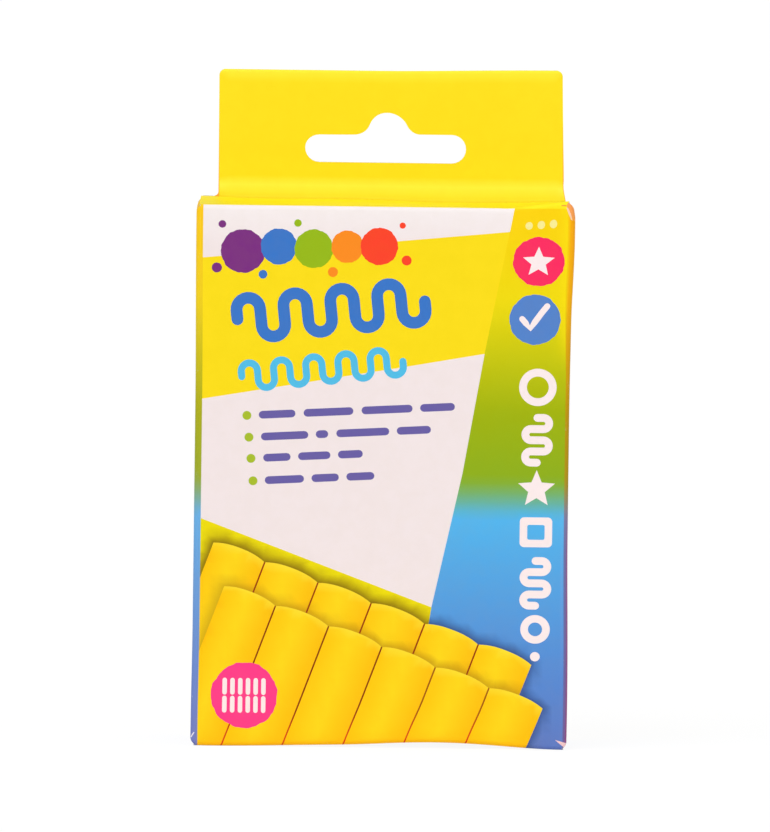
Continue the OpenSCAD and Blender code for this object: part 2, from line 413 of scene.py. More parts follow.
def closing_outline(seam, root, run, up):
    """The lid's or the bottom flap's outline, from its seam on the front panel to its tip."""
    plate = LID_HIGH.x
    fold = root + up * (HINGE_L + run)
    tongue = fold + up * TONGUE_FOLD_L
    tip = tongue + up * TONGUE_L
    tip_x = TONGUE_HALF - TONGUE_TAPER
    half = [
        (FRONT_HALF, seam, 0),
        (FRONT_HALF, root, 0),
        (plate, root + up * HINGE_L, 0),
        (plate, fold - up * SHOULDER, 0),
        (TONGUE_HALF, fold, 0),
        (TONGUE_HALF, tongue + up * TONGUE_SIDE, 0),
        (tip_x, tip, TONGUE_CORNER_R),
    ]
    whole = half + [(-x, z, r) for x, z, r in reversed(half)]
    return rounded(whole if up > 0 else whole[::-1])


# The hanging slot, and the hump over its middle with the fillets at its foot
SLOT_L = 25.9
SLOT_H = 4.6
SLOT_Z = TOP + 8.25
HUMP_R = 3.3
HUMP_RISE = 2.45
HUMP_FOOT_R = 2.5


def slot_outline():
    """The hanging slot, counterclockwise: a long slot with a round hump over its middle."""
    half = SLOT_H / 2
    end = SLOT_L / 2 - half
    foot_z = half + HUMP_FOOT_R - HUMP_RISE
    reach = HUMP_R + HUMP_FOOT_R
    foot_x = math.sqrt(reach**2 - foot_z**2)
    slope = math.degrees(math.atan2(foot_z, foot_x))
    top = SLOT_Z + half + HUMP_FOOT_R
    outline = arc((-end, SLOT_Z), half, 90, 270, 12) + arc((end, SLOT_Z), half, -90, 90, 12)
    outline += arc((foot_x, top), HUMP_FOOT_R, 270, 180 + slope, 8)
    outline += arc((0, SLOT_Z + HUMP_RISE), HUMP_R, slope, 180 - slope, 20)[1:-1]
    outline += arc((-foot_x, top), HUMP_FOOT_R, -slope, -90, 8)
    return outline


# The tab's sides, its corners' radii at the top and at the root, and how far its front layer runs
# down below the carton's top
TAB_LEFT = -26.8
TAB_RIGHT = 28.65
TAB_CORNER_R = 1.0
TAB_ROOT_R = 0.8
TAB_OVERLAP = 0.8
TAB_TURN = TAB_R * math.pi
TAB_END = TAB_CREASE + TAB_TURN + TAB_CREASE - TOP + TAB_OVERLAP
# Heights with extra points on the tab's right side, which spreads at its foot
TAB_ROOT = (90.3, 89.7, 89.1, 88.5, 87.9, 87.4)
# How much of the top corner's radius is drawn, so that its arc stops short of level
CORNER_SHARE = 0.98


def tab_layer(z, front):
    """Height on the blank of a height on the hang tab, on its rear or its front layer."""
    return 2 * TAB_CREASE + TAB_TURN - z if front else z


def tab_side(x, inward):
    """One side of the tab on the blank, up the rear layer and down the front one."""
    start = TAB_TOP - TAB_CORNER_R
    points = []
    steps = 16
    span = tab_layer(start, True) - start
    for i in range(steps + 1):
        z = start + span * i / steps
        _, height, _, _ = walk(z - TAB_CREASE, TAB_BENDS)
        rise = min(TAB_CREASE + height - start, TAB_CORNER_R) if z > TAB_CREASE else z - start
        rise = max(0.0, min(rise, TAB_CORNER_R * CORNER_SHARE)) if i not in (0, steps) else 0.0
        inset = TAB_CORNER_R - math.sqrt(TAB_CORNER_R**2 - rise**2)
        points.append((x + inward * inset, z))
    return points


# The dust flaps: the room between a pair, the slant of their front edge, their corners' radius, the
# room behind them for the tongue, and the notch at their back
DUST_APART = 21.0
DUST_SLANT = 2.0
DUST_CORNER_R = 2.5
DUST_GAP = 0.4
DUST_BACK = LID_HIGH.y - 2 * BOARD - DUST_GAP
DUST_NOTCH = 0.7
# The glue lap's width, how far it stops short of the carton's ends, and its slanted ends
LAP_W = 11.0
LAP_END = 1.2
LAP_SLANT = 4.0
CORNER_TOP = LID_CREASE + 0.9 * HINGE_R * QUARTER


def dust_corners(side, up):
    """Corners of a dust flap on the blank, from its front root to its back root."""
    panel = "right" if side > 0 else "left"
    crease = DUST_HIGH if up > 0 else DUST_LOW
    root = crease + up * FOLD_L
    tip = root + up * (SIDE_X - UPRIGHT_R - DUST_APART / 2)
    front = blank_x(panel, y=FRONT_Y + UPRIGHT_R)
    slanted = blank_x(panel, y=FRONT_Y + UPRIGHT_R + DUST_SLANT)
    back = blank_x(panel, y=DUST_BACK)
    end = blank_x(panel, y=BACK_Y - UPRIGHT_R)
    return [
        (front, root - up * 0.1 * FOLD_L, 0), (slanted, tip, DUST_CORNER_R),
        (back, tip, DUST_CORNER_R), (back, root + up * DUST_NOTCH, 0),
        (end, root + up * DUST_NOTCH, 0), (end, crease + up * 0.3, 0),
    ]


def left_outline():
    """Left fold, left panel with its dust flaps, back panel with the hang tab, and the lap."""
    seam = -FRONT_HALF
    back = blank_x("back", -FRONT_HALF)
    tab_left = blank_x("back", TAB_LEFT)
    tab_right = blank_x("back", TAB_RIGHT)
    lap = back - BACK_L
    lap_tip = lap - FOLD_L - LAP_W
    right_root = lap - tab_right
    upper = [
        (seam, CORNER_TOP, 0), *dust_corners(-1, 1),
        (back + 0.5 * FOLD_L, TOP - 0.8, 0), (back + 0.2 * FOLD_L, TOP - 0.35, 0), (back, TOP, 0),
        (tab_left, TOP, TAB_ROOT_R),
    ]
    over = [(x, z, 0) for x, z in tab_side(tab_left, -1)]
    root = arc((tab_left + TAB_ROOT_R, TOP + TAB_ROOT_R), TAB_ROOT_R, 180, 270, 6)
    over += [(x, tab_layer(z, True), 0) for x, z in root]
    over += [(tab_left + TAB_ROOT_R, TAB_END, 0), (tab_right, TAB_END, 0)]
    over += [(tab_right, tab_layer(z, True), 0) for z in reversed(TAB_ROOT)]
    over += [(x, z, 0) for x, z in reversed(tab_side(tab_right, 1))]
    over += [(tab_right, z, 0) for z in TAB_ROOT]
    lower = [
        (tab_right, TOP, abs(right_root) * 0.95), (lap, TOP, 0),
        (lap, TOP - LAP_END, 0), (lap - FOLD_L, TOP - LAP_END, 0),
        (lap_tip, TOP - LAP_END - LAP_SLANT, 0), (lap_tip, LAP_END + LAP_SLANT, 0),
        (lap - FOLD_L, LAP_END, 0), (lap, LAP_END, 0), (lap, 0, 0),
        (back, 0, 0), (back + 0.5 * FOLD_L, 0.35, 0),
        *reversed(dust_corners(-1, -1)), (seam, TOP - CORNER_TOP, 0),
    ]
    return rounded((upper + over + lower)[::-1])


def right_outline():
    """Right fold and right panel with its dust flaps, up to its raw edge at the seam."""
    seam = FRONT_HALF
    edge = blank_x("right", y=BACK_Y - SEAM_INSET)
    corners = [
        (seam, CORNER_TOP, 0), *dust_corners(1, 1),
        (edge, DUST_HIGH, 0), (edge, DUST_LOW, 0),
        *reversed(dust_corners(1, -1)), (seam, TOP - CORNER_TOP, 0),
    ]
    return rounded(corners)


# ---------------------------------------------------------------------------
# Inks: each is a function of the place on the blank that gives an sRGB colour of 0 to 255

WHITE = (243, 230, 230)
# A painted highlight on the white field below the top fold
WHITE_HIGHLIGHT = (246, 237, 236)
YELLOW = (252, 222, 18)
TAB_YELLOW = (254, 227, 27)
# Painted light on the tab: a highlight on its top fold, lighter paint on its foot that offsets the
# shade there, and shade in the crease at the lid
TAB_TOP_HIGHLIGHT = (255, 238, 54)
TAB_FOOT_LIGHT = (255, 252, 92)
TAB_CREASE_SHADE = (255, 236, 50)
# Painted shade along the tab's sides, strongest at its foot
TAB_EDGE_SHADE = (255, 186, 66)
LID_YELLOW = (255, 235, 24)
PINK = (252, 41, 97)
MAGENTA = (255, 59, 138)
BLUE = (83, 131, 203)
WORD_BLUE = (56, 118, 200)
WORD_CYAN = (80, 190, 232)
PURPLE = (104, 94, 165)
PLUM = (122, 44, 128)
GREEN = (150, 185, 20)
BULLET = (168, 190, 45)
RED = (252, 66, 40)
ORANGE = (252, 140, 30)
MARK_WHITE = (252, 236, 236)
SEAM = (128, 22, 0)
SEAM_BACK = (146, 22, 0)
SEAM_PALE = (156, 78, 6)
SEAM_RED = (216, 56, 14)
SCUFF = (250, 205, 205)
SCUFF_PALE = (240, 236, 244)
SALMON = (252, 162, 84)
# A painted highlight along the top right fold
PEACH_HIGHLIGHT = (253, 210, 178)
CRACK = (240, 150, 60)
PALE_DOT = (250, 238, 150)


def blend_colours(a, b, share):
    """The colour at a share of the way from a to b."""
    share = min(max(share, 0.0), 1.0)
    return tuple(p + (q - p) * share for p, q in zip(a, b))


def smooth(low, high, value):
    """0 at low, 1 at high, and eased in between."""
    t = min(max((value - low) / (high - low), 0.0), 1.0)
    return t * t * (3 - 2 * t)


def stepped(stops, value):
    """The colour at a value between listed stops of (value, colour), in rising order."""
    if value <= stops[0][0]:
        return stops[0][1]
    for (low, a), (high, b) in zip(stops, stops[1:]):
        if value <= high:
            return blend_colours(a, b, (value - low) / (high - low))
    return stops[-1][1]


def plain(colour):
    """The same colour everywhere."""
    return lambda x, z: colour


# One fade runs up the panel and round both sides: seven inks and the heights they stand at
PANEL_FADE = (
    (0, (98, 124, 194)), (12, (86, 138, 212)), (37.5, (82, 182, 238)), (43.5, (140, 175, 24)),
    (54, (160, 179, 0)), (72, (240, 219, 0)), (87, (254, 211, 0)),
)
# What tints that fade on the left side, and low and high on the right fold
LEFT_TINT = (250, 140, 180)
LEFT_SHARE = 0.14
FOLD_ROSE = (220, 20, 40)
FOLD_ORANGE = (255, 90, 0)
FOLD_SHARE = 0.33
# Low on the right fold: its front edge is bluer, and a narrow line behind that is rosy
FOLD_BLUE = (82, 106, 172)
FOLD_BLUE_SHARE = 0.45
FOLD_MAUVE = (160, 72, 132)
MAUVE_SHARE = 0.6
# A painted highlight on the right-hand panel high beside the fold, and what the sticks' printed
# shade turns it to
PANEL_HIGHLIGHT = (255, 226, 0)
PANEL_HIGHLIGHT_SHARE = 0.6
PANEL_SHADE = (40, 66, 122)
SHADE_SHARE = 0.7
# How much redder the panel's ink grows up to the right fold, as a painted highlight
FOLD_HIGHLIGHT_SHARE = 0.16


def tab_ink(x, z):
    """The tab's yellow, with a painted highlight on its top fold, lighter paint on its foot that
    offsets the shade there, and painted crease shade where it meets the lid.
    """
    height = min(z, tab_layer(z, True))
    # A painted highlight along the top fold
    pale = smooth(TAB_TOP - 0.9, TAB_TOP - 0.3, height)
    if z > TAB_CREASE + TAB_TURN:
        # At the foot, lighter paint offsets the shade there, and painted shade fills the crease at
        # the lid
        foot = 0.8 * smooth(90.5, 88.8, height)
        crease_shade = smooth(88.5, 87.4, height)
        colour = blend_colours(blend_colours(TAB_YELLOW, TAB_TOP_HIGHLIGHT, pale), TAB_FOOT_LIGHT, foot)
        return blend_colours(colour, TAB_CREASE_SHADE, crease_shade)
    return blend_colours(TAB_YELLOW, TAB_TOP_HIGHLIGHT, pale)


def tab_edge_shade_ink(x, z):
    """Painted orange shade along the tab's sides, stronger towards its foot."""
    height = min(z, tab_layer(z, True))
    return blend_colours(tab_ink(x, z), TAB_EDGE_SHADE, 0.25 + 0.75 * smooth(99, 89, height))


def white_ink(x, z):
    """The white field, with a painted highlight towards the top fold."""
    return blend_colours(WHITE, WHITE_HIGHLIGHT, smooth(79, 87, z))


def left_side_ink(x, z):
    """The left panel's fade, from orange yellow down to violet blue."""
    return blend_colours(stepped(PANEL_FADE, z), LEFT_TINT, LEFT_SHARE)


def right_side_ink(x, z):
    """The right fold's warm fade, soft near the top, and the clear fade of the panel behind it."""
    soft = smooth(58, 70, z) * (1 - smooth(28.85, 29.5, x))
    clear = smooth(32.5, 36.5, x)
    low = smooth(40, 30, z)
    warm = blend_colours(FOLD_ROSE, FOLD_ORANGE, smooth(36, 44, z))
    fold = blend_colours(stepped(PANEL_FADE, z), warm, FOLD_SHARE)
    bluer = FOLD_BLUE_SHARE * low * (1 - smooth(29.6, 29.88, x))
    fold = blend_colours(fold, FOLD_BLUE, bluer)
    mauve = MAUVE_SHARE * low * smooth(29.7, 30.02, x) * smooth(31.2, 30.5, x)
    fold = blend_colours(fold, FOLD_MAUVE, mauve)
    return blend_colours(fold, stepped(PANEL_FADE, z), max(soft, clear))


# The printed sticks: two leaning rows, each from its left joint across to the right
STICK_LEAN = math.radians(20.4)
STICK_PITCH = 9.09
STICK_ARCH = 0.72
STICK_DROP = 60.0
ALONG = Vector((math.sin(STICK_LEAN), math.cos(STICK_LEAN)))
ACROSS = Vector((math.cos(STICK_LEAN), -math.sin(STICK_LEAN)))
BACK_ROW = Vector((-26.8, 32.7))
FRONT_ROW = Vector((-25.0, 25.7))
ROW_STICKS = 6
# Where the sticks' joints stand, in pitches, as the sticks aren't all equally wide
JOINTS = (-3, 0, 0.97, 1.976, 2.983, 3.994, 5.01, 6.006, 9)
COUNTED = (-3, 0, 1, 2, 3, 4, 5, 6, 9)


def above_row(row, x, z):
    """How far a place lies above a row's tops, and how many sticks along the row."""
    offset = Vector((x, z)) - row
    return offset.dot(ALONG), float(np.interp(offset.dot(ACROSS) / STICK_PITCH, JOINTS, COUNTED))


def arch(share):
    """Height of a stick's rounded end over its joints, across its width."""
    return STICK_ARCH * (1 - abs(2 * share - 1) ** 2.4)


def row_shade(row, x, z, reach):
    """How much a row of sticks shades what lies behind it, from 0 to 1."""
    height, pitches = above_row(row, x, z)
    past_left = smooth(-0.25, 0.1, pitches)
    past_right = smooth(ROW_STICKS - 0.05, ROW_STICKS + 0.2, pitches)
    return past_left * (1 - past_right) * (1 - smooth(0, reach, height - arch(pitches % 1)))


def panel_ink(x, z):
    """The right-hand panel's fade, with a painted highlight high beside the right fold, and shaded
    close to the printed sticks.
    """
    # A painted highlight high beside the right fold
    warm = PANEL_HIGHLIGHT_SHARE * smooth(27.2, 28.8, x) * smooth(60, 68, z)
    shade = max(row_shade(BACK_ROW, x, z, 1.9), row_shade(FRONT_ROW, x, z, 1.3))
    colour = blend_colours(stepped(PANEL_FADE, z), PANEL_HIGHLIGHT, warm)
    return blend_colours(colour, PANEL_SHADE, SHADE_SHARE * shade**1.5)


def fold_highlight_ink(x, z):
    """The panel's fade, growing a little redder and lighter up to the right fold: a painted
    highlight.
    """
    colour = panel_ink(x, z)
    highlight = FOLD_HIGHLIGHT_SHARE * smooth(FOLD_HIGHLIGHT_TOP, 26, z) * smooth(-8, 30, z)
    reach = min(max((x - FOLD_HIGHLIGHT_X) / (RIGHT_LINE[0][0] - FOLD_HIGHLIGHT_X), 0.0), 1.0)
    return blend_colours(colour, (255, colour[1], colour[2]), highlight * reach)


OLIVE_NEAR = (142, 116, 0)
OLIVE_FAR = (238, 221, 0)
OLIVE_REACH = 1.75


def olive_ink(x, z):
    """The olive band above the sticks, darker and a little brushed close to them."""
    height, pitches = above_row(BACK_ROW, x, z)
    beside = math.hypot(max(height, 0), pitches * STICK_PITCH)
    far = height - arch(pitches % 1) if pitches > 0 else beside
    far += 0.09 * math.sin(9 * pitches + 5 * height) + 0.06 * math.sin(31 * pitches - 4 * height)
    return stepped(((0, OLIVE_NEAR), (OLIVE_REACH, OLIVE_FAR)), far)


# A stick's ink at its left side, at its lightest line and at its right side, as shares of its width
STICK_FADE = ((0, (255, 200, 0)), (0.45, (255, 217, 20)), (1, (254, 192, 0)))
STICK_RIM = (255, 236, 75)
# Painted shade where the print turns under the bottom fold
STICK_FOLD_SHADE = (255, 190, 0)
STICK_SHADE = (176, 132, 8)


def stick_ink(row, shade_row=None):
    """A row's yellow: lighter left of each stick's middle, and more orange at its right, with
    painted orange shade at the bottom fold.
    """

    def ink(x, z):
        height, pitches = above_row(row, x, z)
        share = pitches % 1
        rim = 1 - smooth(0.0, 0.8, arch(share) - height)
        colour = blend_colours(stepped(STICK_FADE, share), STICK_RIM, 0.55 * rim)
        # Painted shade where the print turns under the bottom fold
        colour = blend_colours(colour, STICK_FOLD_SHADE, 0.7 * smooth(1.5, 0.2, z))
        if shade_row is not None:
            shade = row_shade(shade_row, x, z, 1.5)
            colour = blend_colours(colour, STICK_SHADE, 0.62 * shade)
        return colour

    return ink


def place_in_row(row, pitches, height):
    """A point of the printed row."""
    across = float(np.interp(pitches, COUNTED, JOINTS)) * STICK_PITCH
    return tuple(row + ACROSS * across + ALONG * height)


def seam_ink(colour):
    """A seam's dark ink, turning red just above the bottom fold."""
    return lambda x, z: blend_colours(colour, SEAM_RED, smooth(7, 1, z))


# Half a seam's width, in pitches, and how far it runs up past the joint, in millimetres
SEAM_HALF = 0.013
SEAM_RISE = 0.02
ARCH_STEPS = 14


def row_shapes(row, ink):
    """The sticks of one row with the thin seams between them."""
    tops = []
    for stick in range(ROW_STICKS):
        for i in range(ARCH_STEPS + (stick == ROW_STICKS - 1)):
            tops.append(place_in_row(row, stick + i / ARCH_STEPS, arch(i / ARCH_STEPS)))
    ends = [place_in_row(row, ROW_STICKS, -STICK_DROP), place_in_row(row, 0, -STICK_DROP)]
    shapes = [(tops + ends, ink)]
    for joint in range(1, ROW_STICKS):
        dark = SEAM_PALE if joint > 3 else SEAM
        left, right = joint - SEAM_HALF, joint + SEAM_HALF
        corners = ((left, SEAM_RISE), (left, -STICK_DROP), (right, -STICK_DROP), (right, SEAM_RISE))
        line = [place_in_row(row, pitches, height) for pitches, height in corners]
        shapes.append((line, seam_ink(SEAM_BACK if row is BACK_ROW else dark)))
    return shapes


# The waves of an uneven rim, as (waves round the disc, share of its roughness)
RIM_WAVES = ((3, 0.6), (7, 0.8), (12, 0.7), (19, 0.6), (27, 0.5))


def disc(centre, radius, roughness=0.0, steps=72):
    """A disc, with an uneven rim where roughness is above 0."""
    points = []
    for i in range(steps):
        a = 2 * math.pi * i / steps
        uneven = sum(
            share * math.sin(count * a + centre[0] * count)
            for count, share in RIM_WAVES
        )
        r = radius * (1 + roughness * uneven)
        points.append((centre[0] + r * math.cos(a), centre[1] + r * math.sin(a)))
    return points


STAR_POINTS = 5
# How far in its inner corners lie, as a share of its radius
STAR_DEPTH = 0.45


def star(centre, radius):
    """A star standing on two of its points."""
    outline = []
    for i in range(2 * STAR_POINTS):
        a = math.pi / 2 + math.pi * i / STAR_POINTS
        r = radius * (STAR_DEPTH if i % 2 else 1)
        outline.append((centre[0] + r * math.cos(a), centre[1] + r * math.sin(a)))
    return outline


CAP_STEPS = 6


def ribbon(path, width):
    """A stroke of even width along a path, with round ends."""
    line = [Vector(p) for p in path]
    left, right = [], []
    for i, point in enumerate(line):
        ahead = (line[min(i + 1, len(line) - 1)] - line[max(i - 1, 0)]).normalized()
        side = Vector((-ahead.y, ahead.x)) * width / 2
        left.append(tuple(point + side))
        right.append(tuple(point - side))
    heading = math.degrees(math.atan2(*(line[-1] - line[-2]).yx))
    opening = math.degrees(math.atan2(*(line[1] - line[0]).yx))
    end_cap = arc(line[-1], width / 2, heading - 90, heading + 90, CAP_STEPS)[1:-1]
    start_cap = arc(line[0], width / 2, opening + 90, opening + 270, CAP_STEPS)[1:-1]
    return right + end_cap + left[::-1] + start_cap


WAVE_STEPS = 12


def wave(start, end, swing, turns, width):
    """A winding chalk stroke between two points, with half rounds joined by straight legs."""
    a, b = Vector(start), Vector(end)
    ahead = (b - a).normalized()
    side = Vector((-ahead.y, ahead.x))
    radius = (b - a).length / (4 * turns)
    path = [a]
    for half in range(2 * turns):
        up = side * (1 if half % 2 == 0 else -1)
        centre = a + ahead * radius * (2 * half + 1) + up * (swing - radius)
        for i in range(WAVE_STEPS + 1):
            turn = math.pi * i / WAVE_STEPS
            path.append(centre - ahead * radius * math.cos(turn) + up * radius * math.sin(turn))
    return ribbon([*path, b], width)


def bar(x0, x1, z, height):
    """A level bar with round ends."""
    return ribbon([(x0 + height / 2, z), ((x0 + x1) / 2, z), (x1 - height / 2, z)], height)


def tilted(outline, middle, angle):
    """An outline turned about a point, by degrees."""
    c, s = math.cos(math.radians(angle)), math.sin(math.radians(angle))
    return [
        (
            middle[0] + (x - middle[0]) * c - (z - middle[1]) * s,
            middle[1] + (x - middle[0]) * s + (z - middle[1]) * c,
        )
        for x, z in outline
    ]


def paint_drops():
    """A row of plain paint dots in five colours, where the white field meets the yellow band."""
    dots = (
        ((-22.6, 79.6), 3.5, PLUM), ((-16.9, 80.4), 2.9, WORD_BLUE), ((-11.3, 80.1), 3.1, GREEN),
        ((-5.9, 80.5), 2.6, ORANGE), ((-0.8, 80.6), 3.0, RED),
        ((-26.7, 76.9), 0.8, PLUM), ((-19.4, 75.9), 0.7, WORD_BLUE), ((-13.9, 84.2), 0.6, GREEN),
        ((-8.2, 76.4), 0.8, ORANGE), ((3.6, 78.4), 0.8, RED), ((-25.9, 83.9), 0.6, PLUM),
        ((2.9, 84.0), 0.5, RED),
    )
    return [(disc(centre, r, 0.012), plain(colour)) for centre, r, colour in dots]


def scribbles():
    """Two wavy chalk strokes, in blue and light blue."""
    return [
        (wave((-23.4, 68.6), (6.6, 71.9), 3.3, 4, 1.9), plain(WORD_BLUE)),
        (wave((-22.6, 59.4), (3.2, 62.2), 2.1, 5, 1.15), plain(WORD_CYAN)),
    ]


# The list's bars climb to the right, and each dot stands a little right of the one above it
LIST_TILT = math.degrees(math.atan(0.055))
LIST_X = -21.7
LIST_SHIFT = 0.37
LIST_BAR_H = 1.25


def listed_bars():
    """Four green dots, each with a broken bar beside it."""
    rows = (
        (53.2, ((-19.8, -13.9), (-12.6, -4.6), (-3.3, 4.9), (6.1, 11.7))),
        (49.7, ((-19.4, -11.8), (-10.6, -8.6), (-7.3, 1.2), (2.4, 7.9))),
        (46.3, ((-19.0, -14.6), (-13.4, -8.2), (-7.0, -3.0))),
        (42.7, ((-18.7, -12.4), (-11.2, -6.8), (-5.6, -1.1))),
    )
    shapes = []
    for row, (z, bars) in enumerate(rows):
        dot = (LIST_X + LIST_SHIFT * row, z)
        shapes.append((disc(dot, 0.72, 0, 20), plain(BULLET)))
        for x0, x1 in bars:
            shapes.append((tilted(bar(x0, x1, z, LIST_BAR_H), dot, LIST_TILT), plain(PURPLE)))
    return shapes


def doodles():
    """A column of simple chalk doodles, from a ring at the top to a dot at the foot."""
    middle = 24.9
    shapes = []

    def ringed(outer, inner):
        shapes.append((outer, plain(MARK_WHITE)))
        shapes.append((inner, panel_ink))

    ringed(disc((middle, 58.3), 3.0), disc((middle, 58.3), 1.75))
    shapes.append((wave((middle, 53.4), (middle, 46.2), 1.9, 2, 1.25), plain(MARK_WHITE)))
    shapes.append((star((middle, 41.9), 3.1), plain(MARK_WHITE)))
    ringed(
        rounded([(22.3, 37.4, 0.7), (22.3, 32.6, 0.7), (27.5, 32.6, 0.7), (27.5, 37.4, 0.7)]),
        rounded([(23.5, 36.2, 0.3), (23.5, 33.8, 0.3), (26.3, 33.8, 0.3), (26.3, 36.2, 0.3)]),
    )
    shapes.append((wave((middle, 30.4), (middle, 23.2), 1.9, 2, 1.25), plain(MARK_WHITE)))
    ringed(disc((middle, 19.4), 2.3), disc((middle, 19.4), 1.1))
    shapes.append((disc((middle, 15.0), 0.75), plain(MARK_WHITE)))
    return shapes


def badges():
    """Three rough-rimmed discs with a star, a tick and a block of twelve short bars."""
    shapes = [
        (disc((24.62, 78.48), 3.93, 0.014), plain(PINK)),
        (star((24.62, 78.38), 2.5), plain(MARK_WHITE)),
        (disc((24.25, 69.16), 4.03, 0.01), plain(BLUE)),
        (ribbon([(22.25, 69.26), (22.85, 68.56), (23.55, 67.76), (24.25, 68.76), (25.15, 70.06),
                 (26.15, 71.36)], 0.95), plain(MARK_WHITE)),
        (disc((-21.55, 8.2), 5.3, 0.012), plain(MAGENTA)),
    ]
    for i in range(3):
        x = 23.1 + 1.8 * i
        shapes.append((disc((x, 84.1), 0.55, 0, 16), plain(PALE_DOT)))
    for row in range(2):
        for column in range(6):
            x = -24.7 + 1.24 * column
            foot = 8.63 - 2.9 * row
            line = [(x, foot), (x, foot + 1), (x, foot + 2)]
            shapes.append((ribbon(line, 0.72), plain(MARK_WHITE)))
    return shapes


# The painted highlight just inside the right fold, where the panel's ink turns redder: its left
# side and top
FOLD_HIGHLIGHT_X = 28.72
FOLD_HIGHLIGHT_TOP = 44
# Where the left side's ink ends, a little onto the front panel
LEFT_LINE_X = -28.9
# Where the right-hand panel's ink ends: on the upright fold, and just before it near the top
RIGHT_LINE = [(29.36, -6), (29.36, 60), (28.9, 74), (28.9, 93)]


def front_print():
    """Everything printed on the front, in painting order, on the blank."""
    low, high, wide = -6.0, 93.0, 60.0
    left, right = LEFT_LINE_X, 30.2
    strip_right = RIGHT_LINE[0][0]
    shapes = [
        ([(left, low), (right, low), (right, high), (left, high)], white_ink),
        (
            [(left, 55.8), (4.1, 61.4), (16.5, 63.6), (22, 64.6), (22, 83.4), (20.1, 83.2),
             (-0.65, 81.2), (left, 78.5)],
            plain(YELLOW),
        ),
        ([(left, 36.6), (6.5, 23.4), (8.4, 22.7), (8.4, 8), (left, 8)], olive_ink),
        (
            [(20.9, high), (20.8, 86.8), (16.3, 63.6), (13, 44.3), (8.3, 22.8), (4, low),
             (right, low), (right, high)],
            panel_ink,
        ),
        # The painted highlight just inside the right fold
        (
            [(FOLD_HIGHLIGHT_X, low), (strip_right, low), (strip_right, FOLD_HIGHLIGHT_TOP),
             (FOLD_HIGHLIGHT_X, FOLD_HIGHLIGHT_TOP)],
            fold_highlight_ink,
        ),
    ]
    shapes += row_shapes(BACK_ROW, stick_ink(BACK_ROW, FRONT_ROW))
    shapes += row_shapes(FRONT_ROW, stick_ink(FRONT_ROW))
    # The side panels' inks cover what the rows would print past the fold
    shapes += [
        ([(-wide, low), (left, low), (left, high), (-wide, high)], left_side_ink),
        (RIGHT_LINE + [(wide, high), (wide, low)], right_side_ink),
    ]
    shapes += paint_drops() + scribbles() + listed_bars() + doodles() + badges()
    # The lid's yellow comes down over the fold, a little further at the right
    lid_line = [(-wide, 87.15), (18, 87.1), (20.8, 86.95), (25, 86.35), (FRONT_HALF, 85.9),
                (wide, 85.8)]
    shapes.append((lid_line + [(wide, 140), (-wide, 140)], plain(LID_YELLOW)))
    return shapes


def wear_marks():
    """Small scuffs at three corners, a painted highlight on the top right fold and a crack in the
    ink.
    """
    return [
        ([(-30.2, 1.35), (-29.9, 1.3), (-29.35, 2.1), (-29.5, 2.2)], plain(SCUFF_PALE)),
        ([(28.2, 1.6), (29.6, 0.45), (30.2, 0.35), (30.3, 1.05), (29.7, 1.2)], plain(SCUFF)),
        ([(28.95, 86.3), (29.3, 85.2), (29.8, 84.4), (30.5, 84.2), (30.6, 86.9), (29.2, 86.9)],
         plain(SALMON)),
        # A painted highlight along the top right fold
        ([(28.85, 86.1), (29.0, 85.3), (29.35, 84.5), (29.6, 84.4), (29.4, 85.2), (29.1, 86.1)],
         plain(PEACH_HIGHLIGHT)),
        ([(28.1, 86.42), (28.9, 86.3), (28.95, 86.48), (28.2, 86.55)], plain(CRACK)),
    ]


def wrap_print():
    """Everything printed on the wrapped panels and the tab, in painting order, on the blank."""
    low, high = -30.0, 140.0
    lap_end = blank_x("back", SIDE_X) - 2 * LAP_W
    left_end = blank_x("back", -SIDE_X + 0.4)
    right_end = blank_x("right", y=BACK_Y)
    field = [(-24.5, 24), (24.5, 24), (24.5, 80), (-24.5, 80)]
    field = rounded(counterclockwise([(blank_x("back", x), z) for x, z in field], 3.0))
    shapes = [
        ([(lap_end, low), (left_end, low), (left_end, high), (lap_end, high)], tab_ink),
        (field, plain(WHITE)),
        ([(left_end, low), (LEFT_LINE_X, low), (LEFT_LINE_X, high), (left_end, high)],
         left_side_ink),
        ([(28.9, low), (29.5, low), (29.5, high), (28.9, high)], panel_ink),
        ([(RIGHT_LINE[0][0], low), *RIGHT_LINE, (28.9, high), (right_end, high), (right_end, low)],
         right_side_ink),
    ]
    # Painted shade along the tab's sides
    for x0, x1 in ((TAB_LEFT - 0.5, TAB_LEFT + 0.14), (TAB_RIGHT - 0.18, TAB_RIGHT + 0.5)):
        strip = [(blank_x("back", x), z) for x in (x0, x1) for z in (tab_layer(99, True), high)]
        shapes.append(([strip[0], strip[1], strip[3], strip[2]], tab_edge_shade_ink))
    for side in (-1, 1):
        x0, x1 = side * (FRONT_HALF - 0.5), side * (FRONT_HALF + FOLD_L)
        shapes.append(([(x0, 86.9), (x1, 86.6), (x1, 87.2), (x0, 88)], plain(TAB_YELLOW)))
    for i, colour in enumerate((PINK, GREEN, BLUE)):
        shapes.append((disc((blank_x("back", -9 + 9 * i), 52), 3.1, 0.012), plain(colour)))
    return shapes


# ---------------------------------------------------------------------------
# Making a mesh from the blank

# Points closer than this become one, and triangles smaller than this are dropped
EPSILON = 1e-5
SLIVER = 1e-7
# Spacing of the points along a cut piece's outer lines
EDGE_STEP = 0.5
# What a face of the board is, which is also its material's place
PRINTED, INNER, CUT = range(3)
# The ink attribute's value on faces that aren't printed
NO_INK = (1, 1, 1, 1)
# The steepest angle that is still shaded smooth
BOARD_SMOOTH = math.radians(35)
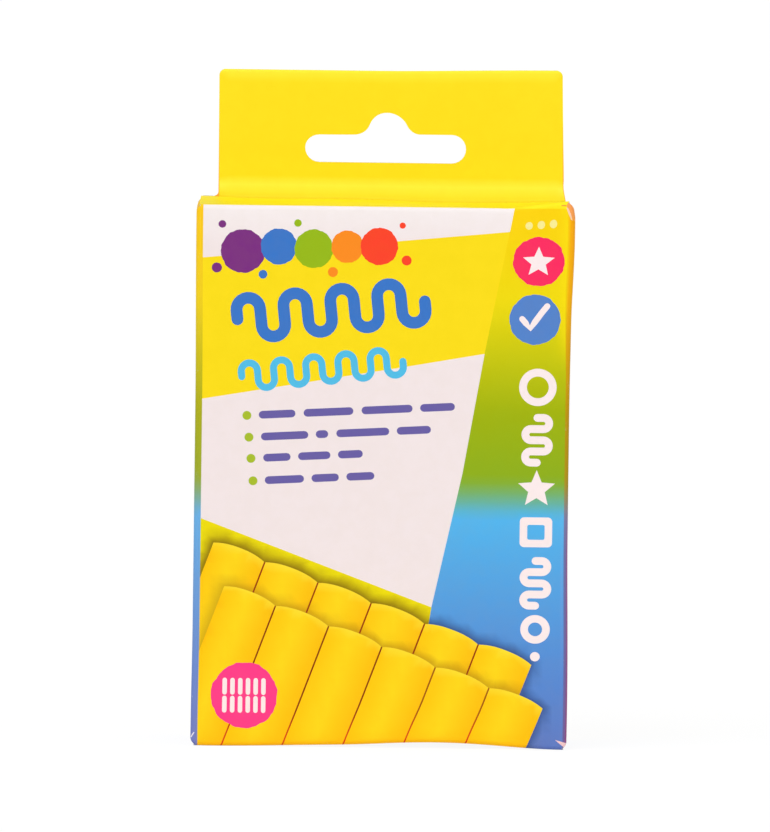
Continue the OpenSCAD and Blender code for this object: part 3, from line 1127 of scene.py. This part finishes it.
# The bake map: the printed and the inner face's left edge and width, and the margin below them
MAP_SPANS = {PRINTED: (0.01, 0.66), INNER: (0.69, 0.28)}
MAP_LOW = 0.01
MAP_HEIGHT = 0.98
# The cut edges' cells: where they start, their spacing, their size, and how they are counted off
CELL_START = (0.984, 0.004)
CELL_STEP = (0.005, 0.0098)
CELL_SIZE = (0.003, 0.007)
CELL_COLUMNS = 3
CELL_ROWS = 100


def linear(colour):
    """An sRGB colour of 0 to 255 as linear RGBA."""
    out = []
    for value in colour:
        c = value / 255
        out.append(c / 12.92 if c <= 0.04045 else ((c + 0.055) / 1.055) ** 2.4)
    return (*out, 1.0)


class Sheet:
    """One piece of the blank, cut out, printed and folded into a closed mesh."""

    def __init__(self, place, board):
        self.place = place
        self.thickness = board.thickness / MM
        self.step = board.mesh_step / MM
        self.points = []
        self.faces = []
        self.kinds = []
        self.inks = []
        self.blank = []
        self.creases = []

    def cut(self, outline, shapes, across=(), along=(), holes=()):
        """Adds the part of the blank inside an outline, printed with shapes in painting order.

        Across and along are the upright and the level folds, as (start, length) on the blank.
        """
        flat, loops, edges = [], [], []
        for loop in (outline, *holes, *(shape for shape, _ in shapes)):
            loop = finely(counterclockwise(list(loop)), self.step)
            loops.append(list(range(len(flat), len(flat) + len(loop))))
            flat += [Vector(p) for p in loop]
        (x0, x1), (z0, z1) = ((min(v), max(v)) for v in zip(*outline))
        xs, zs = ticks(x0, x1, self.step, across), ticks(z0, z1, self.step, along)
        flat += [Vector((x, z)) for x in xs for z in zs]
        # Close points along the outer lines keep the pieces' seams shut where the board is bent
        close_xs, close_zs = (
            np.arange(math.ceil(low / EDGE_STEP) * EDGE_STEP, high, EDGE_STEP)
            for low, high in ((x0, x1), (z0, z1))
        )
        flat += [Vector((x, z)) for x in (x0, x1) for z in close_zs]
        flat += [Vector((x, z)) for z in (z0, z1) for x in close_xs]
        for x in fold_lines(across):
            edges.append((len(flat), len(flat) + 1))
            flat += [Vector((x, z0 - 1)), Vector((x, z1 + 1))]
        for z in fold_lines(along):
            edges.append((len(flat), len(flat) + 1))
            flat += [Vector((x0 - 1, z)), Vector((x1 + 1, z))]
        for x in fold_lines(across):
            flat += [Vector((x, z)) for z in zs]
        for z in fold_lines(along):
            flat += [Vector((x, z)) for x in xs]
        points, _, triangles, _, _, origins = delaunay_2d_cdt(flat, edges, loops, 0, EPSILON, True)
        first_ink = 1 + len(holes)
        kept, inks = [], []
        for triangle, origin in zip(triangles, origins):
            if 0 in origin and not any(1 <= i < first_ink for i in origin):
                a, b, c = (points[i] for i in triangle)
                area = (b - a).cross(c - a)
                if abs(area) < SLIVER:
                    continue
                kept.append(tuple(triangle) if area > 0 else tuple(reversed(triangle)))
                top = max(origin)
                inks.append(shapes[top - first_ink][1] if top >= first_ink else plain(WHITE))
        used = sorted({i for triangle in kept for i in triangle})
        index = {old: new for new, old in enumerate(used)}
        self.fold([points[i] for i in used], [[index[i] for i in t] for t in kept], inks)

    def fold(self, flat, triangles, inks):
        """Folds flat triangles up, and gives them the board's inner face and cut edges."""
        start, count = len(self.points), len(flat)
        inner = []
        for x, z in flat:
            place, out, crease = self.place(x, z)
            self.points.append(settle(place) * MM)
            inner.append(settle(place - out * self.thickness) * MM)
            self.creases.append(crease)
            self.blank.append((x, z))
        self.points += inner
        self.creases += self.creases[-count:]
        self.blank += self.blank[-count:]
        edges = {}
        for triangle in triangles:
            for a, b in zip(triangle, triangle[1:] + triangle[:1]):
                edges[(a, b)] = True
        for triangle, ink in zip(triangles, inks):
            self.faces.append([start + i for i in triangle])
            self.kinds.append(PRINTED)
            self.inks.append([linear(ink(*flat[i])) for i in triangle])
        for triangle in triangles:
            self.faces.append([start + count + i for i in reversed(triangle)])
            self.kinds.append(INNER)
            self.inks.append([NO_INK] * 3)
        for a, b in edges:
            if (b, a) not in edges:
                self.faces.append([start + b, start + a, start + count + a, start + count + b])
                self.kinds.append(CUT)
                self.inks.append([NO_INK] * 4)

    def build(self, name, materials):
        """The sheet as an object at the origin."""
        mesh = bpy.data.meshes.new(name)
        mesh.from_pydata(self.points, [], self.faces)
        for material in materials:
            mesh.materials.append(material)
        mesh.polygons.foreach_set("material_index", self.kinds)
        mesh.polygons.foreach_set("use_smooth", [True] * len(self.faces))
        ink = mesh.color_attributes.new("ink", "FLOAT_COLOR", "CORNER")
        colours = [colour for face in self.inks for colour in face]
        ink.data.foreach_set("color", np.array(colours, np.float32).ravel())
        crease = mesh.attributes.new("crease", "FLOAT", "POINT")
        crease.data.foreach_set("value", self.creases)
        mesh.set_sharp_from_angle(angle=BOARD_SMOOTH)
        mesh.validate()
        mesh.update()
        piece = bpy.data.objects.new(name, mesh)
        bpy.context.scene.collection.objects.link(piece)
        return piece

    def bake_map(self, mesh):
        """A flat map that gives the printed face most of its room, and each edge a small cell."""
        (x0, x1), (z0, z1) = ((min(v), max(v)) for v in zip(*self.blank))
        uvs, cells = [], 0
        for face, kind in zip(self.faces, self.kinds):
            if kind == CUT:
                u = CELL_START[0] + CELL_STEP[0] * (cells % CELL_COLUMNS)
                v = CELL_START[1] + CELL_STEP[1] * (cells // CELL_COLUMNS % CELL_ROWS)
                right, top = u + CELL_SIZE[0], v + CELL_SIZE[1]
                cells += 1
                uvs += [(u, v), (right, v), (right, top), (u, top)]
                continue
            left, width = MAP_SPANS[kind]
            for i in face:
                x, z = self.blank[i]
                u = left + width * (x - x0) / (x1 - x0)
                uvs.append((u, MAP_LOW + MAP_HEIGHT * (z - z0) / (z1 - z0)))
        mesh.uv_layers.new(name="OFBake").data.foreach_set("uv", np.array(uvs, np.float32).ravel())


# ---------------------------------------------------------------------------
# Materials


class Nodes:
    """Builds one material's node tree."""

    def __init__(self, name):
        self.material = bpy.data.materials.new(name)
        self.material.use_nodes = True
        self.tree = self.material.node_tree
        self.tree.nodes.clear()
        self.coords = self.add("ShaderNodeTexCoord").outputs["Object"]

    def add(self, kind, **values):
        """A node, with its properties and its sockets' values set by name."""
        node = self.tree.nodes.new(kind)
        for key, value in values.items():
            if hasattr(node, key):
                setattr(node, key, value)
            else:
                node.inputs[key.replace("_", " ")].default_value = value
        return node

    def link(self, output, target):
        """Joins an output to an input."""
        self.tree.links.new(output, target)

    def noise(self, scale, detail, roughness=0.5, stretch=None):
        """A noise factor on the piece's own coordinates, in features per metre."""
        node = self.add("ShaderNodeTexNoise", Scale=scale, Detail=detail, Roughness=roughness)
        coords = self.coords
        if stretch:
            mapping = self.add("ShaderNodeMapping", Scale=stretch)
            self.link(coords, mapping.inputs["Vector"])
            coords = mapping.outputs["Vector"]
        self.link(coords, node.inputs["Vector"])
        return node.outputs["Fac"]

    def math(self, operation, a, b):
        """The result of an operation on two values, each a socket or a number."""
        node = self.add("ShaderNodeMath", operation=operation)
        for i, value in enumerate((a, b)):
            if isinstance(value, (int, float)):
                node.inputs[i].default_value = value
            else:
                self.link(value, node.inputs[i])
        return node.outputs[0]

    def span(self, value, low, high, to_low=0.0, to_high=1.0):
        """A factor mapped smoothly from one span to another."""
        node = self.add("ShaderNodeMapRange", interpolation_type="SMOOTHSTEP")
        for name, number in (("From Min", low), ("From Max", high), ("To Min", to_low),
                             ("To Max", to_high)):
            node.inputs[name].default_value = number
        self.link(value, node.inputs["Value"])
        return node.outputs["Result"]

    def mix(self, factor, a, b):
        """A mix of two colours, each a socket or a colour."""
        node = self.add("ShaderNodeMix", data_type="RGBA", blend_type="MIX")
        for value, socket in ((factor, node.inputs[0]), (a, node.inputs[6]), (b, node.inputs[7])):
            if isinstance(value, bpy.types.NodeSocket):
                self.link(value, socket)
            else:
                socket.default_value = value if isinstance(value, float) else (*value[:3], 1.0)
        return node.outputs[2]

    def bump(self, height, strength, distance, normal=None):
        """A bump normal from a height."""
        node = self.add("ShaderNodeBump", Strength=strength, Distance=distance)
        self.link(height, node.inputs["Height"])
        if normal:
            self.link(normal, node.inputs["Normal"])
        return node.outputs["Normal"]

    def finish(self, colour, roughness, normal, **constants):
        """Closes the tree with one principled surface."""
        shader = self.add("ShaderNodeBsdfPrincipled")
        for name, value in constants.items():
            shader.inputs[name.replace("_", " ")].default_value = value
        self.link(colour, shader.inputs["Base Color"])
        self.link(roughness, shader.inputs["Roughness"])
        self.link(normal, shader.inputs["Normal"])
        output = self.add("ShaderNodeOutputMaterial")
        self.link(shader.outputs["BSDF"], output.inputs["Surface"])
        return self.material


def printed_face(settings):
    """The varnished printed face: ink with a faint mottle, and pale wear along the folds."""
    nodes = Nodes("printed_face")
    ink = nodes.add("ShaderNodeAttribute", attribute_name="ink").outputs["Color"]
    crease = nodes.add("ShaderNodeAttribute", attribute_name="crease").outputs["Fac"]
    mottle = nodes.span(nodes.noise(420, 3, 0.6), 0.3, 0.7, 0.0, 1.0)
    dark = nodes.mix(0.03, ink, (0.45, 0.32, 0.02))
    light = nodes.mix(0.002, ink, (1.0, 1.0, 1.0))
    colour = nodes.mix(mottle, dark, light)
    grains = nodes.span(nodes.noise(2600, 4, 0.7), 0.60, 0.70)
    patches = nodes.span(nodes.noise(330, 3, 0.6), 0.50, 0.68)
    rubbed = nodes.math("MULTIPLY", nodes.math("MULTIPLY", grains, patches), crease)
    rubbed = nodes.math("MULTIPLY", rubbed, float(settings.wear))
    colour = nodes.mix(rubbed, colour, (0.86, 0.82, 0.76))
    roughness = nodes.span(nodes.noise(150, 2), 0.3, 0.7, 0.46, 0.56)
    skin = nodes.bump(nodes.noise(3200, 2), 0.05, 0.00002)
    swell = nodes.bump(nodes.noise(95, 1), 0.10, 0.0006, skin)
    return nodes.finish(colour, roughness, swell, Specular_IOR_Level=0.1)


def raw_board(settings):
    """The inside: grey-white recycled board with flecks and a soft fibre grain."""
    nodes = Nodes("raw_board")
    base = tuple(settings.board_white)
    cloud = nodes.span(nodes.noise(260, 4, 0.65), 0.3, 0.7)
    colour = nodes.mix(cloud, tuple(c * 0.93 for c in base), tuple(min(1, c * 1.06) for c in base))
    fleck = nodes.span(nodes.noise(2400, 3, 0.75), 0.66, 0.74)
    colour = nodes.mix(nodes.math("MULTIPLY", fleck, 0.5), colour, (0.26, 0.24, 0.22))
    roughness = nodes.span(nodes.noise(900, 2), 0.3, 0.7, 0.78, 0.92)
    fibres = nodes.bump(nodes.noise(1500, 4, 0.7, (1, 1, 3)), 0.25, 0.00004)
    return nodes.finish(colour, roughness, fibres)


def cut_edge(settings):
    """The board's cut edges: pale, fibrous and faintly layered."""
    nodes = Nodes("cut_edge")
    base = tuple(settings.edge_white)
    layers = nodes.span(nodes.noise(4200, 3, 0.7), 0.35, 0.65)
    colour = nodes.mix(layers, tuple(c * 0.82 for c in base), base)
    roughness = nodes.span(nodes.noise(1100, 2), 0.3, 0.7, 0.8, 0.95)
    fibres = nodes.bump(nodes.noise(5200, 3, 0.7), 0.4, 0.00004)
    return nodes.finish(colour, roughness, fibres)


def dusty_chalk(settings):
    """Dry moulded chalk: clouded, speckled, pitted with painted shade in the pits, and quite matt.
    """
    nodes = Nodes("dusty_chalk")
    base = tuple(settings.colour)
    cloud = nodes.span(nodes.noise(240, 4, 0.6), 0.3, 0.7)
    colour = nodes.mix(cloud, tuple(c * 0.93 for c in base), tuple(min(1, c * 1.05) for c in base))
    dust = nodes.span(nodes.noise(900, 5, 0.7), 0.52, 0.72)
    colour = nodes.mix(nodes.math("MULTIPLY", dust, 0.45), colour, (0.97, 0.91, 0.62))
    pits = nodes.span(nodes.noise(2100, 2, 0.5), 0.27, 0.36)
    # The pits are painted darker, as shade in them
    colour = nodes.mix(nodes.math("SUBTRACT", 1.0, pits), colour, tuple(c * 0.7 for c in base))
    roughness = nodes.span(nodes.noise(700, 2), 0.3, 0.7, 0.9, 1.0)
    grain = nodes.bump(nodes.noise(3400, 4, 0.7), 0.35, 0.00005)
    pitted = nodes.bump(pits, 0.5, 0.00012, grain)
    return nodes.finish(colour, roughness, pitted, Specular_IOR_Level=0.2)


def board_materials(settings):
    """The three faces of the board, made once and shared by its pieces."""
    names = ("printed_face", "raw_board", "cut_edge")
    makers = (printed_face, raw_board, cut_edge)
    return [bpy.data.materials.get(n) or make(settings) for n, make in zip(names, makers)]


# ---------------------------------------------------------------------------
# Operators


def closing_sheet(outline, folds, board):
    """The printed sheet of the lid or the bottom flap, with its hinge and its tongue folded."""
    sheet = Sheet(front_place, board)
    sheet.cut(outline, front_print() + wear_marks(), (), folds)
    return sheet


class CHALKBOX_OT_front_panel(bpy.types.Operator):
    """Builds the printed front panel"""

    bl_idname = "chalkbox.front_panel"
    bl_label = "Front panel"

    def execute(self, context):
        board = context.scene.chalkbox_board
        sheet = Sheet(front_place, board)
        outline = [(-FRONT_HALF, STRIP_LOW), (FRONT_HALF, STRIP_LOW), (FRONT_HALF, STRIP_HIGH),
                   (-FRONT_HALF, STRIP_HIGH)]
        sheet.cut(outline, front_print() + wear_marks())
        piece = sheet.build("front_panel", board_materials(board))
        sheet.bake_map(piece.data)
        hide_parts("carton")
        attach(piece, "carton_body")
        return {"FINISHED"}


class CHALKBOX_OT_carton(bpy.types.Operator):
    """Builds the side panels, dust flaps, back, glue lap and double hang tab"""

    bl_idname = "chalkbox.carton"
    bl_label = "Wrapped panels and hang tab"

    def execute(self, context):
        board = context.scene.chalkbox_board
        sheet = Sheet(wrap_place, board)
        shapes = wrap_print() + wear_marks()
        folds_x = [(-FRONT_HALF - FOLD_L, FOLD_L), (blank_x("back", -FRONT_HALF), FOLD_L),
                   (blank_x("back", -FRONT_HALF) - BACK_L - FOLD_L, FOLD_L)]
        folds_z = [(DUST_LOW - FOLD_L, FOLD_L), (DUST_HIGH, FOLD_L), (TAB_CREASE, TAB_TURN)]
        slot = slot_outline()
        holes = [
            [(blank_x("back", x), tab_layer(z, front)) for x, z in slot] for front in (False, True)
        ]
        sheet.cut(left_outline(), shapes, folds_x, folds_z, holes)
        sheet.cut(right_outline(), shapes, [(FRONT_HALF, FOLD_L)], folds_z[:2])
        piece = sheet.build("carton_board", board_materials(board))
        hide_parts("carton")
        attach(piece, "carton_body")
        return {"FINISHED"}


class CHALKBOX_OT_lid(bpy.types.Operator):
    """Builds the lid with its fold and tuck tongue"""

    bl_idname = "chalkbox.lid"
    bl_label = "Lid"

    def execute(self, context):
        board = context.scene.chalkbox_board
        outline = closing_outline(STRIP_HIGH, LID_CREASE, LID_RUN, 1)
        folds = [(LID_CREASE, HINGE_L), (LID_CREASE + HINGE_L + LID_RUN, TONGUE_FOLD_L)]
        piece = closing_sheet(outline, folds, board).build("lid_board", board_materials(board))
        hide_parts("lid")
        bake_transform(piece)
        return {"FINISHED"}


class CHALKBOX_OT_bottom_flap(bpy.types.Operator):
    """Builds the bottom flap with its fold and tuck tongue"""

    bl_idname = "chalkbox.bottom_flap"
    bl_label = "Bottom flap"

    def execute(self, context):
        board = context.scene.chalkbox_board
        outline = closing_outline(STRIP_LOW, FLAP_CREASE, FLAP_RUN, -1)
        hinge_end = FLAP_CREASE - HINGE_L
        folds = [(hinge_end, HINGE_L), (hinge_end - FLAP_RUN - TONGUE_FOLD_L, TONGUE_FOLD_L)]
        piece = closing_sheet(outline, folds, board).build("bottom_board", board_materials(board))
        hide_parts("bottom_flap")
        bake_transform(piece)
        return {"FINISHED"}


# Faces round a stick, along it and round the edge of its tip
STICK_SIDES = 48
STICK_RINGS = 36
TIP_STEPS = 6
# The ring that stands on each end between its edge and its middle, as a share of the end's radius
END_RING = 0.5
# The steepest angle that is still shaded smooth
CHALK_SMOOTH = math.radians(40)


def stick_profile(radius, length, chalk):
    """Radius and height of a stick's rings, from the one on its base to the one on its tip."""
    tip = radius - chalk.taper / 2
    profile = [(radius * END_RING, 0), (radius - chalk.bevel, 0), (radius, chalk.bevel)]
    top = length - chalk.tip_r
    for i in range(1, STICK_RINGS + 1):
        share = i / STICK_RINGS
        profile.append((radius + (tip - radius) * share, chalk.bevel + (top - chalk.bevel) * share))
    for i in range(1, TIP_STEPS + 1):
        a = QUARTER * i / TIP_STEPS
        profile.append((tip - chalk.tip_r * (1 - math.cos(a)), top + chalk.tip_r * math.sin(a)))
    profile.append((tip * END_RING, length))
    return profile


def stick_mesh(name, radius, length, chalk):
    """One stick standing on the origin, as a closed lathe form."""
    mesh = bpy.data.meshes.new(name)
    build = bmesh.new()
    turns = [2 * math.pi * i / STICK_SIDES for i in range(STICK_SIDES)]
    pairs = [(i, (i + 1) % STICK_SIDES) for i in range(STICK_SIDES)]
    rings = [
        [build.verts.new((r * math.cos(turn), r * math.sin(turn), z)) for turn in turns]
        for r, z in stick_profile(radius, length, chalk)
    ]
    for low, high in zip(rings, rings[1:]):
        for i, j in pairs:
            build.faces.new((low[i], low[j], high[j], high[i]))
    for ring, height, flip in ((rings[0], 0, True), (rings[-1], length, False)):
        middle = build.verts.new((0, 0, height))
        for i, j in pairs:
            build.faces.new((ring[j], ring[i], middle) if flip else (ring[i], ring[j], middle))
    build.to_mesh(mesh)
    build.free()
    return mesh


def socket_of(tree, name):
    """The identifier of a group's named input."""
    return next(i.identifier for i in tree.interface.items_tree if i.name == name)


# Features per metre of the casting's unevenness
LUMP_SCALE = 260
LUMP_DETAIL = 3


def stick_tree(material):
    """Geometry nodes that stand a stick on each point, turn it by chance and make it uneven."""
    tree = bpy.data.node_groups.new("standing_sticks", "GeometryNodeTree")
    for name, way, kind in (
        ("Geometry", "INPUT", "Geometry"), ("Stick", "INPUT", "Object"), ("Seed", "INPUT", "Int"),
        ("Unevenness", "INPUT", "Float"), ("Geometry", "OUTPUT", "Geometry"),
    ):
        tree.interface.new_socket(name, in_out=way, socket_type="NodeSocket" + kind)

    def add(node_type, inputs, **values):
        """A node with its properties set, and each input given a value or joined to an output."""
        node = tree.nodes.new(node_type)
        for key, value in values.items():
            setattr(node, key, value)
        for key, value in inputs.items():
            if isinstance(value, bpy.types.NodeSocket):
                tree.links.new(value, node.inputs[key])
            else:
                node.inputs[key].default_value = value
        return node.outputs

    given = add("NodeGroupInput", {})
    stick = add("GeometryNodeObjectInfo", {"Object": given["Stick"]}, transform_space="ORIGINAL")
    turn = add("FunctionNodeRandomValue",
               {"Min": (0, 0, 0), "Max": (0, 0, 2 * math.pi), "Seed": given["Seed"]},
               data_type="FLOAT_VECTOR")
    stand = add("GeometryNodeInstanceOnPoints",
                {"Points": given["Geometry"], "Instance": stick["Geometry"],
                 "Rotation": turn["Value"]})
    real = add("GeometryNodeRealizeInstances", {"Geometry": stand["Instances"]})
    lumps = add("ShaderNodeTexNoise", {"Scale": LUMP_SCALE, "Detail": LUMP_DETAIL})
    depth = add("ShaderNodeMath", {0: lumps["Fac"], 1: given["Unevenness"]}, operation="MULTIPLY")
    sunk = add("ShaderNodeMath", {0: depth[0], 1: -1}, operation="MULTIPLY")
    normal = add("GeometryNodeInputNormal", {})
    inward = add("ShaderNodeVectorMath", {0: normal["Normal"], "Scale": sunk[0]}, operation="SCALE")
    moved = add("GeometryNodeSetPosition",
                {"Geometry": real["Geometry"], "Offset": inward["Vector"]})
    shaded = add("GeometryNodeSetShadeSmooth", {"Geometry": moved["Geometry"]})
    done = add("GeometryNodeSetMaterial", {"Geometry": shaded["Geometry"], "Material": material})
    add("NodeGroupOutput", {"Geometry": done["Geometry"]})
    return tree


class CHALKBOX_OT_sticks(bpy.types.Operator):
    """Stands the chalk sticks in the carton"""

    bl_idname = "chalkbox.sticks"
    bl_label = "Chalk sticks"

    def execute(self, context):
        chalk = context.scene.chalkbox_chalk
        feet, radius, length = [], 0.0, 0.0
        for node in STICKS:
            low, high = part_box(node)
            radius, length = (high.x - low.x) / 2, high.z - low.z
            x, y = (low.x + high.x) / 2, (low.y + high.y) / 2
            under = [Vector((x + out, y - radius, 0)) / MM for out in (-radius, 0, radius)]
            feet.append((x, y, low.z + max(settle(place).z for place in under) * MM))
        stick = bpy.data.objects.new("one_stick", stick_mesh("one_stick", radius, length, chalk))
        points = bpy.data.meshes.new("stick_feet")
        points.from_pydata(feet, [], [])
        holder = bpy.data.objects.new("stick_feet", points)
        context.scene.collection.objects.link(holder)
        material = dusty_chalk(chalk)
        tree = stick_tree(material)
        modifier = holder.modifiers.new("sticks", "NODES")
        modifier.node_group = tree
        modifier[socket_of(tree, "Stick")] = stick
        modifier[socket_of(tree, "Seed")] = chalk.seed
        modifier[socket_of(tree, "Unevenness")] = chalk.roughness
        context.view_layer.update()
        graph = context.evaluated_depsgraph_get()
        mesh = bpy.data.meshes.new_from_object(holder.evaluated_get(graph))
        mesh.set_sharp_from_angle(angle=CHALK_SMOOTH)
        piece = bpy.data.objects.new("chalk_sticks", mesh)
        context.scene.collection.objects.link(piece)
        bpy.data.objects.remove(holder)
        bpy.data.objects.remove(stick)
        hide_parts(*STICKS)
        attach(piece, "carton_body")
        return {"FINISHED"}


# The render's size in pixels, its scale, and where the middle of the front's foot stands in it
RENDER_W, RENDER_H = 770, 832
PIXELS_PER_MM = 6.23
FOOT_PIXEL = (377.9, 747.9)
SENSOR_MM = 36.0
CLIP_START, CLIP_END = 0.05, 60


def add_camera(stage):
    """A long lens a little above the carton, with the front's foot at its place in the render."""
    az, el, roll = stage.azimuth, stage.elevation, stage.roll
    back = Vector((math.sin(az) * math.cos(el), -math.cos(az) * math.cos(el), math.sin(el)))
    level = Vector((math.cos(az), math.sin(az), 0))
    upward = back.cross(level)
    right = level * math.cos(roll) + upward * math.sin(roll)
    up = upward * math.cos(roll) - level * math.sin(roll)
    foot = Vector((0, FRONT_Y, 0)) * MM
    across = (RENDER_W / 2 - FOOT_PIXEL[0]) / PIXELS_PER_MM * MM
    above = (FOOT_PIXEL[1] - RENDER_H / 2) / PIXELS_PER_MM * MM
    data = bpy.data.cameras.new("camera")
    data.sensor_fit = "AUTO"
    data.sensor_width = SENSOR_MM
    seen = RENDER_H / PIXELS_PER_MM * MM
    data.lens = SENSOR_MM * stage.distance / seen
    data.clip_start, data.clip_end = CLIP_START, CLIP_END
    camera = bpy.data.objects.new("camera", data)
    bpy.context.scene.collection.objects.link(camera)
    turn = Matrix((right, up, back)).transposed().to_4x4()
    place = foot + right * across + up * above + back * stage.distance
    camera.matrix_world = Matrix.Translation(place) @ turn
    bpy.context.scene.camera = camera


def add_sun(name, strength, softness, azimuth, elevation, gloss=True):
    """A soft, even lamp that shines from an azimuth and elevation, in degrees."""
    data = bpy.data.lights.new(name, "SUN")
    data.energy = strength
    data.angle = math.radians(softness)
    lamp = bpy.data.objects.new(name, data)
    lamp.visible_glossy = gloss
    bpy.context.scene.collection.objects.link(lamp)
    a, e = math.radians(azimuth), math.radians(elevation)
    toward = Vector((math.sin(a) * math.cos(e), -math.cos(a) * math.cos(e), math.sin(e)))
    lamp.rotation_mode = "QUATERNION"
    lamp.rotation_quaternion = toward.to_track_quat("Z", "Y")


# The floor's reach from the carton in metres, its own glow, and how much of that shows
FLOOR_REACH = 15.0
FLOOR_GLOW = 1.02
GLOW_SHARE = 0.9


def floor_material(colour):
    """A pale floor that is nearly white to the camera and keeps the soft shadow."""
    nodes = Nodes("pale_floor")
    grain = nodes.noise(40, 3)
    base = nodes.mix(grain, tuple(c * 0.985 for c in colour), tuple(colour))
    diffuse = nodes.add("ShaderNodeBsdfDiffuse")
    nodes.link(base, diffuse.inputs["Color"])
    glow = nodes.add("ShaderNodeEmission", Strength=FLOOR_GLOW)
    path = nodes.add("ShaderNodeLightPath")
    seen = nodes.math("MAXIMUM", path.outputs["Is Camera Ray"], path.outputs["Is Glossy Ray"])
    share = nodes.math("MULTIPLY", seen, GLOW_SHARE)
    blend = nodes.add("ShaderNodeMixShader")
    nodes.link(share, blend.inputs[0])
    nodes.link(diffuse.outputs[0], blend.inputs[1])
    nodes.link(glow.outputs[0], blend.inputs[2])
    output = nodes.add("ShaderNodeOutputMaterial")
    nodes.link(blend.outputs[0], output.inputs["Surface"])
    return nodes.material


def add_world(strength):
    """Even daylight that the camera sees as white."""
    world = bpy.data.worlds.new("studio")
    bpy.context.scene.world = world
    world.use_nodes = True
    tree = world.node_tree
    tree.nodes.clear()
    light = tree.nodes.new("ShaderNodeBackground")
    light.inputs["Strength"].default_value = strength
    white = tree.nodes.new("ShaderNodeBackground")
    white.inputs["Strength"].default_value = 1.0
    path = tree.nodes.new("ShaderNodeLightPath")
    mix = tree.nodes.new("ShaderNodeMixShader")
    output = tree.nodes.new("ShaderNodeOutputWorld")
    tree.links.new(path.outputs["Is Camera Ray"], mix.inputs[0])
    tree.links.new(light.outputs[0], mix.inputs[1])
    tree.links.new(white.outputs[0], mix.inputs[2])
    tree.links.new(mix.outputs[0], output.inputs["Surface"])


class CHALKBOX_OT_stage(bpy.types.Operator):
    """Adds the floor, the lamps and the camera"""

    bl_idname = "chalkbox.stage"
    bl_label = "Stage"

    def execute(self, context):
        stage = context.scene.chalkbox_stage
        context.scene.view_settings.view_transform = "Standard"
        add_camera(stage)
        add_world(strength=0.53)
        add_sun("key", strength=1.48, softness=40, azimuth=-38, elevation=55)
        add_sun("fill", strength=0.67, softness=70, azimuth=40, elevation=30)
        add_sun("back", strength=1.1, softness=70, azimuth=165, elevation=8, gloss=False)
        mesh = bpy.data.meshes.new("floor")
        signs = ((-1, -1), (1, -1), (1, 1), (-1, 1))
        corners = [(x * FLOOR_REACH, y * FLOOR_REACH, 0) for x, y in signs]
        mesh.from_pydata(corners, [], [(0, 1, 2, 3)])
        mesh.materials.append(floor_material(tuple(stage.floor_colour)))
        floor = bpy.data.objects.new("floor", mesh)
        context.scene.collection.objects.link(floor)
        return {"FINISHED"}


class CHALKBOX_PT_panel(bpy.types.Panel):
    """Lists the carton's pieces and settings"""

    bl_idname = "CHALKBOX_PT_panel"
    bl_label = "Chalk carton"
    bl_space_type = "VIEW_3D"
    bl_region_type = "UI"
    bl_category = "Chalk carton"

    def draw(self, context):
        layout = self.layout
        for group in ("chalkbox_board", "chalkbox_chalk", "chalkbox_stage"):
            settings = getattr(context.scene, group)
            box = layout.box()
            for name in settings.__annotations__:
                box.prop(settings, name)
        for operator in OPERATORS:
            layout.operator(operator.bl_idname)


GROUPS = {
    "chalkbox_board": BoardSettings,
    "chalkbox_chalk": ChalkSettings,
    "chalkbox_stage": StageSettings,
}
OPERATORS = (
    CHALKBOX_OT_stage,
    CHALKBOX_OT_front_panel,
    CHALKBOX_OT_carton,
    CHALKBOX_OT_lid,
    CHALKBOX_OT_bottom_flap,
    CHALKBOX_OT_sticks,
)


def register():
    """Registers the settings, the operators and the panel."""
    for name, group in GROUPS.items():
        bpy.utils.register_class(group)
        setattr(bpy.types.Scene, name, PointerProperty(type=group))
    for cls in (*OPERATORS, CHALKBOX_PT_panel):
        bpy.utils.register_class(cls)


def unregister():
    """Takes them away again."""
    for cls in reversed((*OPERATORS, CHALKBOX_PT_panel)):
        bpy.utils.unregister_class(cls)
    for name, group in GROUPS.items():
        delattr(bpy.types.Scene, name)
        bpy.utils.unregister_class(group)


def main():
    """Builds the stage and every piece."""
    register()
    bpy.ops.chalkbox.stage()
    bpy.ops.chalkbox.front_panel()
    bpy.ops.chalkbox.carton()
    bpy.ops.chalkbox.lid()
    bpy.ops.chalkbox.bottom_flap()
    bpy.ops.chalkbox.sticks()


if __name__ == "__main__":
    main()
